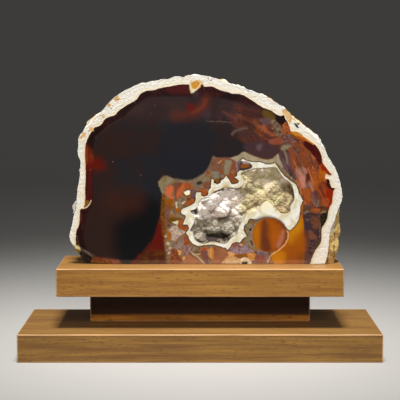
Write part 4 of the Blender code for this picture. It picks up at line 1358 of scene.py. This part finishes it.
def skin_finish(colours):
    """The nodule's natural skin: chalk with tan and brown stains, with gold clay low down."""
    finish = Finish("natural_skin")
    place = finish.place()
    patterns = stone_patterns(finish, place, ("fine", "medium", "broad"))
    fine, medium, broad = map(swung, patterns.values())
    behind = finish.axes(place)[1] - FACE_Y / MM
    chalky = finish.rise(behind + medium * 1.6, 1.5, 7.0)
    soft = finish.rise(broad + medium * 0.35, -0.5, 0.6)
    colour = finish.blend(soft * chalky, colours.chalk, colours.sand)
    stain = finish.rise(medium + fine * 0.5, 0.3, 1.1) * chalky * 0.8
    colour = finish.blend(stain, colour, colours.ochre_light)
    dirt = finish.rise(fine + medium * 0.4, 0.8, 1.3) * chalky * 0.7
    colour = finish.blend(dirt, colour, colours.walnut)
    colour = lay_markings(finish, colour, SKIN_MARKINGS, colours, patterns)
    grit = finish.pattern(place, 0.9, 4)
    finish.set(Base_Color=colour, Roughness=0.86, Normal=finish.bump(grit, 0.35, 0.9))
    return finish.material


WALL_SHADE = (84.0, 88.0)  # in mm above the table, below which the hollow's wall is painted dark brown as shade


def wall_finish(colours):
    """The hollow's wall and the flat below: rough pale chalcedony, painted dark brown as shade low down."""
    finish = Finish("pale_chalcedony")
    place = finish.place()
    share = finish.rise(finish.pattern(place, 3, 3), -0.6, 0.6)
    colour = finish.blend(share, colours.beige, colours.cream_dark)
    # Painted shade: the wall turns dark brown low in the hollow
    higher = finish.rise(finish.axes(place)[2], *WALL_SHADE)
    colour = finish.blend(higher, colours.bark, colour)
    finish.set(Base_Color=colour, Roughness=0.8)
    return finish.material


class GEODE_OT_stone(bpy.types.Operator):
    """Build the sawn and polished nodule, with its hollow and its markings"""

    bl_idname = "geode.stone"
    bl_label = "Agate nodule"

    sharp_angle = math.radians(38)  # edges that are sharper than this aren't shaded smooth

    def execute(self, context):
        settings = context.scene.geode.stone
        colours = settings.colours
        wall = wall_finish(colours)
        finishes = [
            polish_finish(colours, "polished_agate_left", -1),
            skin_finish(colours),
            wall,
            wall,
            polish_finish(colours, "polished_agate_right", 1),
        ]
        stone = object_from("agate_nodule", build_nodule(settings), finishes)
        subtract(stone, object_from("pocket_cutter", build_pocket_cutter(), finishes))
        on_plane = carve_rind(stone.data, settings)
        seam = (SEAM_PX - FLAT_PX[0]) * PIXEL * MM
        for face in stone.data.polygons:
            if face.material_index == FACE_SLOT and face.center.x > seam:
                face.material_index = RIGHT_SLOT
        places = vertex_places(stone.data)[:, (0, 2)]
        add_distances(stone.data, (*FACE_MARKINGS, RIND, *RIND_MARKINGS), places, on_plane)
        add_distances(stone.data, SKIN_MARKINGS, places, np.ones(len(places), bool))
        put_in_place(stone.data)
        stone.data.shade_smooth()
        stone.data.set_sharp_from_angle(angle=self.sharp_angle)
        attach(stone, "root")
        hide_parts("agate_geode")
        return {"FINISHED"}


# The rounded clusters of crystals in the hollow: x and y in pixels, radius and height in mm
CLUSTERS_PX = (
    (203, 208, 6.5, 4.8), (216, 197, 7.0, 4.6), (222, 210, 6.5, 5.4), (201, 217, 4.6, 4.0),
    (211, 205, 5.5, 5.0), (234, 200, 5.5, 4.2), (204, 199, 4.5, 4.0), (226, 203, 5.0, 4.2),
    (250, 186, 8.0, 3.6), (262, 180, 7.5, 3.2), (272, 191, 8.0, 3.8), (283, 201, 7.0, 3.4),
    (261, 197, 6.0, 3.8), (247, 200, 6.5, 3.8), (240, 207, 5.0, 3.4), (257, 172, 6.0, 3.0),
    (270, 174, 5.5, 2.6), (267.5, 206.5, 5.0, 6.2), (284, 207, 4.5, 3.4), (248, 177, 5.0, 3.0),
    (199, 227, 6.0, 3.4), (214, 226, 6.8, 3.6), (227, 228, 5.8, 3.2), (236, 221, 5.5, 3.2),
    (200, 238, 4.6, 3.8), (212, 219, 4.0, 2.6), (234, 213, 5.0, 3.2), (230, 192, 5.5, 3.0),
)
# The lining, in mm where not said otherwise
CRUST_RIM, CRUST_RIM_INSET = 0.35, 0.05  # how far its rim lies behind the face and from the wall
CRUST_FALL = 3.2  # from the mouth's edge, over which the lining drops
CRUST_KEPT_BACK = 0.3  # how far behind the face the tips of the crystals stay
CRUST_THICK = 3.0
CRUST_SPACING, CRUST_SHAKE, CRUST_MARGIN, CRUST_SEED = 1.15, 0.2, 0.5, 5
CLUMP_SIZE, CLUMP_HEIGHT = 7.0, 0.7
CELL_SIZE, CELL_HEIGHT, CELL_LEVEL = 3.4, 1.4, 0.4
LUMPS_DEPTH = 50.0  # where in the noise the lining is
DARK_SLOT_PX = ((207, 238), (216, 238), (227, 237.5))
DARK_SLOT_WIDTH, DARK_SLOT_DEPTH = 2.6, 3.0
WELL_PX, WELL_RADIUS, WELL_DEPTH = (213, 232), 15.0, 2.4
GRADIENT_STEP = 0.35  # over which the lining's slope is taken
SEAT_SHAKE, SEAT_MARGIN, SEAT_SEED, CRYSTAL_SEED = 0.35, 0.45, 21, 7
LEAN, FORWARD = 0.28, 0.25  # how much a crystal leans at random, and towards the face
FOOT_DEPTH = 0.9  # of a crystal, in its heights
SWELL, STRETCH = (0.6, 1.35), (0.7, 1.3)  # a crystal's size, and its height besides

# The crevice lines, the slot with its branches and spots, quartz_floor, quartz_low and quartz_grey_lumps
# are painted shade in the hollow's gaps and low places
CRYSTAL_MARKINGS = read_markings("""
area quartz_left: milky pinkish milky; 190,198 205,192 222,188 238,190 241,205 234,217 212,221 190,221; soft
  3, ragged 1.5, grain medium, mottle medium
area quartz_low: greyish slot_grey greyish; 188,220 212,220 230,217 244,213 242,228 228,244 190,244; soft 2,
  ragged 1.5, grain medium, mottle sparse
area quartz_right: tan mossy tan; 246,196 262,192 278,186 290,182 296,196 294,214 280,216 270,204 256,207
  244,213; soft 3, ragged 1.8, cover .95, grain medium, mottle medium
spots quartz_pale: honeyed pinkish; 267,184,4 236,201,5 252,168,4 262,168,5 283,178,5 236,212,5; soft 2.5,
  ragged 1.5, cover .8, grain medium, mottle medium
spots quartz_grey_lumps: greyish; 213.5,228,6 230,228.5,5 202,239,3.5 239,219,5; soft 2, ragged 1, cover .8,
  mottle medium
spots quartz_lemon: lemon; 267.5,207.5,6.4; soft 1.2, ragged 1
spots quartz_mossy: mossy; 256,190,6 244,206,5 276,199,6; soft 2.5, ragged 2, cover .7, grain medium
line crevices: umber; 231,209 229.5,214 226,218 219,219.5 213,218; soft 1.1, ragged .6, width 1.4, cover .9
line crevice_left: umber shadow; 191.5,211 194,209.5 197,209 196,213; soft .8, ragged .5, width 2
line crevice_top: umber; 214,191.5 218,190 223,189; soft .7, ragged .4, width 1.7
line crevice_right: umber; 289,186 292,192 293,198 291,204; soft 1.4, ragged .8, width 2.4, cover .85
line crevice_brown: umber; 229,189 235,189.5 240,188; soft 1.2, ragged .8, width 1.4, cover .6
area slot: shadow; 206,236 212,235 229,235 228,239.5 222,241.5 216,241 210,240.5; soft .9, ragged .6
area quartz_floor: slot_grey shadow slot_grey; 198,238 206,237.5 230,236 238,238 232,246 202,247 194,243;
  soft 1, ragged .8, cover .9, mottle medium
line slot_branches: shadow; 203,235.5 205.5,231.5 207.5,236; soft .7, ragged .4, cover .85
spots slot_spots: shadow; 204.5,227,1.3 194.8,231,1.1 196.3,218.7,0.9 195.5,211,1.3; soft .7, ragged .4,
  cover .9
""")


def lumps(places):
    """How far the lining's clumps and cells stand out at places, in mm."""
    spots_at = [Vector((x, LUMPS_DEPTH, z)) for x, z in places]
    clumps = [noise.fractal(spot / CLUMP_SIZE, 1.0, 2.0, 2) for spot in spots_at]
    cells = [noise.voronoi(spot / CELL_SIZE)[0][0] for spot in spots_at]
    return CLUMP_HEIGHT * np.array(clumps) + CELL_HEIGHT * (CELL_LEVEL - np.array(cells) ** 2)


def lining_depth(places, loop, settings):
    """How far behind the face the lining of the hollow lies, in mm."""
    wall = np.maximum(loop_distance(places, loop), 0)
    depth = CRUST_RIM + (settings.depth / MM - CRUST_RIM) * (1 - np.exp(-wall / CRUST_FALL))
    lift = np.zeros(len(places))
    for x, y, radius, height in CLUSTERS_PX:
        apart = np.hypot(*(places - on_face([(x, y)])[0]).T) / radius
        lift = np.maximum(lift, height * np.sqrt(np.maximum(1 - apart**2, 0)))
    well = np.hypot(*(places - on_face([WELL_PX])[0]).T) / WELL_RADIUS
    depth += WELL_DEPTH * np.exp(-well**2)
    slot = line_distance(places, on_face(DARK_SLOT_PX)) / DARK_SLOT_WIDTH
    depth += DARK_SLOT_DEPTH * np.exp(-slot**2)
    lift += lumps(places)
    return np.maximum(depth - lift * ramp(wall / 2.0), CRUST_RIM)


def crystal_template():
    """One six-sided crystal of radius 1 whose tip is at height 1, closed, on a sunk foot."""
    bm = bmesh.new()
    bmesh.ops.create_cone(
        bm, cap_ends=True, cap_tris=False, segments=6, radius1=1.0, radius2=0.0, depth=1.0
    )
    bmesh.ops.translate(bm, vec=(0, 0, 0.5), verts=bm.verts[:])
    bmesh.ops.remove_doubles(bm, verts=bm.verts[:], dist=1e-4)
    foot = max(bm.faces, key=lambda f: len(f.verts))
    grown = bmesh.ops.extrude_discrete_faces(bm, faces=[foot])["faces"]
    bmesh.ops.translate(bm, vec=(0, 0, -FOOT_DEPTH), verts=grown[0].verts[:])
    bmesh.ops.recalc_face_normals(bm, faces=bm.faces[:])
    bmesh.ops.triangulate(bm, faces=bm.faces[:])
    places = np.array([v.co[:] for v in bm.verts])
    corners = np.array([[v.index for v in f.verts] for f in bm.faces])
    bm.free()
    return places, corners


def join_copies(places, corners, seats, axes, spins, radii, heights):
    """One mesh's vertices and triangles from many copies of a crystal."""
    side = np.cross(axes, (0.3, 0.2, 0.93))
    side /= np.linalg.norm(side, axis=1)[:, None]
    other = np.cross(axes, side)
    across = np.cos(spins)[:, None] * side + np.sin(spins)[:, None] * other
    along = np.cross(axes, across)
    made = (
        seats[:, None]
        + places[None, :, 0, None] * (across * radii[:, None])[:, None]
        + places[None, :, 1, None] * (along * radii[:, None])[:, None]
        + places[None, :, 2, None] * (axes * heights[:, None])[:, None]
    )
    steps = np.arange(len(seats))[:, None, None] * len(places)
    return made.reshape(-1, 3), (corners[None] + steps).reshape(-1, 3)


def mesh_from_arrays(name, places, corners):
    mesh = bpy.data.meshes.new(name)
    mesh.from_pydata(places.tolist(), [], corners.tolist())
    mesh.update()
    return mesh


def crystal_arrays(loop, settings):
    """The crystals that stand on the lining."""
    pick = np.random.default_rng(CRYSTAL_SEED)
    seats = spread_points(loop, settings.spacing / MM, SEAT_SHAKE, SEAT_MARGIN, SEAT_SEED)
    count = len(seats)
    depth = lining_depth(seats, loop, settings)
    slopes = [
        (lining_depth(seats + step, loop, settings) - depth) / GRADIENT_STEP
        for step in ((GRADIENT_STEP, 0), (0, GRADIENT_STEP))
    ]
    normals = np.column_stack((slopes[0], np.full(count, -1.0), slopes[1]))
    normals /= np.linalg.norm(normals, axis=1)[:, None]
    axes = normals + pick.normal(0, LEAN, (count, 3))
    axes[:, 1] -= FORWARD
    axes /= np.linalg.norm(axes, axis=1)[:, None]
    swell = pick.uniform(*SWELL, count)
    radii = settings.radius / MM * swell
    heights = settings.rise / MM * swell * pick.uniform(*STRETCH, count)
    places = np.column_stack((seats[:, 0], depth, seats[:, 1]))
    tips = places[:, 1] + axes[:, 1] * heights
    places[:, 1] += np.maximum(CRUST_KEPT_BACK - tips, 0)
    template = crystal_template()
    spins = pick.uniform(0, math.pi / 3, count)
    made, corners = join_copies(*template, places, axes, spins, radii, heights)
    return made, corners, np.repeat(pick.uniform(0, 1, count), len(template[0]))


def quartz_finish(name, settings, markings):
    """Milky quartz, coloured by where it lies in the hollow."""
    finish = Finish(name)
    place = finish.place()
    patterns = {
        "fine": finish.noise(place, 1.6, 2),
        "medium": finish.noise(place, 4.5, 2),
        "sparse": finish.noise(place, 4.0, 2, shift=31.0),
    }
    colour = finish.mottle(settings.honeyed, [patterns["medium"]], [settings.mossy])
    colour = lay_markings(finish, colour, markings, settings, patterns)
    # Painted shade: the colour browns where the lining's clumps sink
    cranny_shade = finish.rise(finish.attribute("lump"), 0.2, -0.9)
    colour = finish.blend(cranny_shade * 0.6, colour, settings.cranny_shade)
    value = 0.94 + finish.attribute("glint") * 0.12
    colour = finish.node("ShaderNodeHueSaturation", None, {"Value": value, "Color": colour})
    finish.set(
        Base_Color=colour,
        Roughness=0.8,
        IOR=1.55,
        Specular_IOR_Level=0.25,
        Transmission_Weight=settings.clearness,
    )
    return finish.material


class GEODE_OT_crystals(bpy.types.Operator):
    """Build the quartz crystals that line the hollow"""

    bl_idname = "geode.crystals"
    bl_label = "Crystal lining"

    def execute(self, context):
        settings = context.scene.geode.crystals
        loop = smooth_loop(POCKET_MOUTH, CURVE_STEPS)
        centre = loop.mean(axis=0)
        rim = loop + (centre - loop) * (CRUST_RIM_INSET / np.hypot(*(loop - centre).T))[:, None]
        inner = spread_points(loop, CRUST_SPACING, CRUST_SHAKE, CRUST_MARGIN, CRUST_SEED)
        bm = flat_surface(rim, inner)
        bmesh.ops.subdivide_edges(bm, edges=bm.edges[:], cuts=1, use_grid_fill=True)
        thicken(
            bm,
            lambda places: lining_depth(places, loop, settings) + CRUST_THICK,
            lambda places: lining_depth(places, loop, settings),
        )
        crust = object_from("quartz_druse", bm, [quartz_finish("quartz", settings, CRYSTAL_MARKINGS)])
        made, corners, glints = crystal_arrays(loop, settings)
        crystals = mesh_from_arrays("crystals", made, corners)
        glints = np.concatenate((np.full(len(crust.data.vertices), 0.5), glints))
        joined = bmesh.new()
        joined.from_mesh(crust.data)
        joined.from_mesh(crystals)
        joined.to_mesh(crust.data)
        joined.free()
        bpy.data.meshes.remove(crystals)
        add_attribute(crust.data, "glint", glints)
        places = vertex_places(crust.data)[:, (0, 2)]
        add_attribute(crust.data, "lump", lumps(places))
        add_distances(crust.data, CRYSTAL_MARKINGS, places, np.ones(len(places), bool))
        put_in_place(crust.data)
        crust.data.shade_flat()
        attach(crust, "root")
        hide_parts("crystal_crust")
        return {"FINISHED"}


def edge_wear_and_highlight(finish, place, box, width):
    """1 along a board's edges and 0 on its sides, with the box's corners in metres."""
    low, high = (Vector(c) / MM for c in box)
    centre = (low + high) / 2
    half = (high - low) / 2
    apart = finish.vector("SUBTRACT", place, centre)
    sides = zip(finish.axes(finish.vector("ABSOLUTE", apart)), half)
    near = [finish.rise(side, reach - width, reach - 0.1) for side, reach in sides]
    pairs = [near[0] * near[1], near[1] * near[2], near[0] * near[2]]
    return pairs[0].combine("MAXIMUM", pairs[1]).combine("MAXIMUM", pairs[2])


EDGE_WEAR_AND_HIGHLIGHT = 1.1  # in mm, how wide the paler edges are, partly scuffed and partly painted highlight
NECK_SHADOW = (24.3, 26.8)  # in mm above the table, between which the neck's wood turns to the painted shadow of the top board


def wood_finish(name, node, light, dark, settings, shift):
    """Oiled wood with its grain along the board, with paler edges, partly scuffed and partly painted
    highlight, painted highlight on the boards' tops, and the top board's painted shadow on the neck.
    """
    finish = Finish(name)
    place = finish.place()
    shifted = finish.vector("ADD", place, (shift, shift * 0.7, shift * 1.3))
    sway = finish.pattern(shifted, 26, 2, (4, 1, 1)) * 3.0
    _, back, up = finish.axes(shifted)
    rings = ((up + back * 0.22 + sway) * 0.9).combine("SINE")
    streaks = finish.pattern(shifted, 1.3, 3, (28, 1, 1))
    broad = finish.pattern(shifted, 9, 2, (7, 1, 1))
    share = finish.rise(rings * 0.22 + streaks * 0.9 + broad * 0.35, -0.9, 0.9)
    colour = finish.blend(share, dark, light)
    pores = finish.rise(finish.pattern(shifted, 0.9, 2, (5, 1, 1)), 0.28, 0.75)
    colour = finish.blend(pores * 0.85, colour, settings.pore)
    threads = finish.rise(finish.pattern(shifted, 0.7, 2, (30, 1, 1), shift=3.0), 0.1, 0.8)
    colour = finish.blend(threads * 0.3, colour, settings.pore)
    flecks = finish.rise(finish.pattern(shifted, 0.8, 1, (7, 1, 1), shift=9.0), 0.95, 1.35)
    colour = finish.blend(flecks * 0.3, colour, settings.worn_and_highlit)
    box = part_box(node)
    height = finish.axes(place)[2]
    if node == "neck_block":
        # Painted shadow: the neck turns dark above its lower strip, where the top board shades it
        shadowed = finish.rise(height + streaks * 0.6, *NECK_SHADOW)
        colour = finish.blend(shadowed, colour, settings.neck_shadow)
    else:
        # Painted highlight: the top face of each board is made paler
        top = box[1][2] / MM
        painted_top_highlight = finish.rise(height, top - 0.5, top - 0.1) * finish.rise(streaks, -1.6, 0.8)
        colour = finish.blend(painted_top_highlight * 0.12, colour, settings.worn_and_highlit)
    # The edges are made paler, partly as scuffing and partly as painted highlight
    rim_wear_and_highlight = edge_wear_and_highlight(finish, place, box, EDGE_WEAR_AND_HIGHLIGHT) * finish.rise(streaks, -1.6, 0.4)
    colour = finish.blend(rim_wear_and_highlight * 0.75, colour, settings.worn_and_highlit)
    finish.set(
        Base_Color=colour,
        Roughness=0.42 + pores * 0.25,
        Specular_IOR_Level=0.2 if node == "neck_block" else 0.5,
        Normal=finish.bump(streaks * 0.3 - pores, 0.06, 0.6),
    )
    return finish.material


class GEODE_OT_stand(bpy.types.Operator):
    """Give the two boards and the neck their wood"""

    bl_idname = "geode.stand"
    bl_label = "Wooden stand"

    def execute(self, context):
        wood = context.scene.geode.wood
        boards = (
            ("top_plank", wood.top_light, wood.top_dark, 0.0),
            ("neck_block", wood.neck_light, wood.neck_dark, 140.0),
            ("base_plank", wood.base_light, wood.base_dark, 61.0),
        )
        for node, light, dark, shift in boards:
            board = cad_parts[node]
            finish = wood_finish(f"{node}_wood", node, light, dark, wood, shift)
            board.data.materials.clear()
            board.data.materials.append(finish)
        return {"FINISHED"}


# The stage, in metres
CAMERA_PLACE = (0.0, -1.0106, 0.2067)
CAMERA_PITCH = -5.52  # in degrees
CAMERA_LENS, CAMERA_SENSOR = 126.0, 36.0  # in mm
FLOOR_NEAR, FLOOR_FAR, FLOOR_HALF_WIDTH = -4.0, 1.5, 4.0
SWEEP_RADIUS, SWEEP_STEPS, WALL_HEIGHT = 0.7, 24, 2.4
KEY_PLACE, KEY_SIZE, KEY_SPREAD = (0.0, -0.46, 1.34), 0.3, 36
FRONT_PLACE, FRONT_SIZE, FRONT_SPREAD = (0.15, -1.3, 0.75), 0.5, 24
LIGHT_TARGET = Vector((0.0, 0.0, 0.09))


def build_floor():
    """A floor that turns up into a wall at the back, without a corner."""
    bm = bmesh.new()
    start = [bm.verts.new((x, FLOOR_NEAR, 0)) for x in (-FLOOR_HALF_WIDTH, FLOOR_HALF_WIDTH)]
    edge = bm.edges.new(start)
    grown = bmesh.ops.extrude_edge_only(bm, edges=[edge])["geom"]
    edge = only(grown, bmesh.types.BMEdge)[0]
    bmesh.ops.translate(bm, vec=(0, FLOOR_FAR - FLOOR_NEAR, 0), verts=edge.verts[:])
    turned = bmesh.ops.spin(
        bm, geom=[edge], cent=(0, FLOOR_FAR, SWEEP_RADIUS), axis=(1, 0, 0),
        angle=math.pi / 2, steps=SWEEP_STEPS, use_merge=False,
    )["geom_last"]
    edge = only(turned, bmesh.types.BMEdge)[0]
    grown = bmesh.ops.extrude_edge_only(bm, edges=[edge])["geom"]
    verts = only(grown, bmesh.types.BMVert)
    bmesh.ops.translate(bm, vec=(0, 0, WALL_HEIGHT), verts=verts)
    bmesh.ops.remove_doubles(bm, verts=bm.verts[:], dist=1e-5)
    bmesh.ops.recalc_face_normals(bm, faces=bm.faces[:])
    if bm.faces[0].normal.z < -0.5:
        bmesh.ops.reverse_faces(bm, faces=bm.faces[:])
    return bm


def add_softbox(name, place, size, power, spread):
    light = bpy.data.lights.new(name, "AREA")
    light.spread = math.radians(spread)
    light.shape = "SQUARE"
    light.size = size
    light.energy = power
    lamp = bpy.data.objects.new(name, light)
    lamp.location = place
    lamp.rotation_euler = (LIGHT_TARGET - Vector(place)).to_track_quat("-Z", "Y").to_euler()
    bpy.context.scene.collection.objects.link(lamp)


class GEODE_OT_stage(bpy.types.Operator):
    """Set the floor, the lights and the camera"""

    bl_idname = "geode.stage"
    bl_label = "Stage"

    def execute(self, context):
        settings = context.scene.geode.stage
        finish = Finish("floor_paper")
        finish.set(Base_Color=settings.floor, Roughness=0.9)
        floor = object_from("floor", build_floor(), [finish.material])
        floor.data.shade_smooth()
        add_softbox("key", KEY_PLACE, KEY_SIZE, settings.key_power, KEY_SPREAD)
        add_softbox("front", FRONT_PLACE, FRONT_SIZE, settings.front_power, FRONT_SPREAD)
        world = bpy.data.worlds.new("air")
        world.use_nodes = True
        sky = world.node_tree.nodes["Background"]
        sky.inputs["Color"].default_value = (1.0, 1.0, 1.0, 1.0)
        sky.inputs["Strength"].default_value = settings.air
        context.scene.world = world
        camera = bpy.data.cameras.new("camera")
        camera.lens = CAMERA_LENS
        camera.sensor_width = CAMERA_SENSOR
        eye = bpy.data.objects.new("camera", camera)
        eye.location = CAMERA_PLACE
        eye.rotation_euler = Euler((math.radians(90 + CAMERA_PITCH), 0, 0))
        context.scene.collection.objects.link(eye)
        context.scene.camera = eye
        context.scene.view_settings.view_transform = "Standard"
        return {"FINISHED"}


class GEODE_PT_panel(bpy.types.Panel):
    """The geode's pieces, in the sidebar"""

    bl_idname = "GEODE_PT_panel"
    bl_label = "Agate geode"
    bl_space_type = "VIEW_3D"
    bl_region_type = "UI"
    bl_category = "Geode"

    def draw(self, context):
        for operator in OPERATORS:
            self.layout.operator(operator.bl_idname)


GROUPS = (
    StoneColours, StoneSettings, CrystalSettings, WoodSettings, StageSettings, GeodeSettings,
)
OPERATORS = (GEODE_OT_stage, GEODE_OT_stone, GEODE_OT_crystals, GEODE_OT_stand)


def register():
    for item in (*GROUPS, *OPERATORS, GEODE_PT_panel):
        bpy.utils.register_class(item)
    bpy.types.Scene.geode = bpy.props.PointerProperty(type=GeodeSettings)


def unregister():
    del bpy.types.Scene.geode
    for item in reversed((*GROUPS, *OPERATORS, GEODE_PT_panel)):
        bpy.utils.unregister_class(item)


def main():
    register()
    bpy.ops.geode.stage()
    bpy.ops.geode.stone()
    bpy.ops.geode.crystals()
    bpy.ops.geode.stand()


if __name__ == "__main__":
    main()
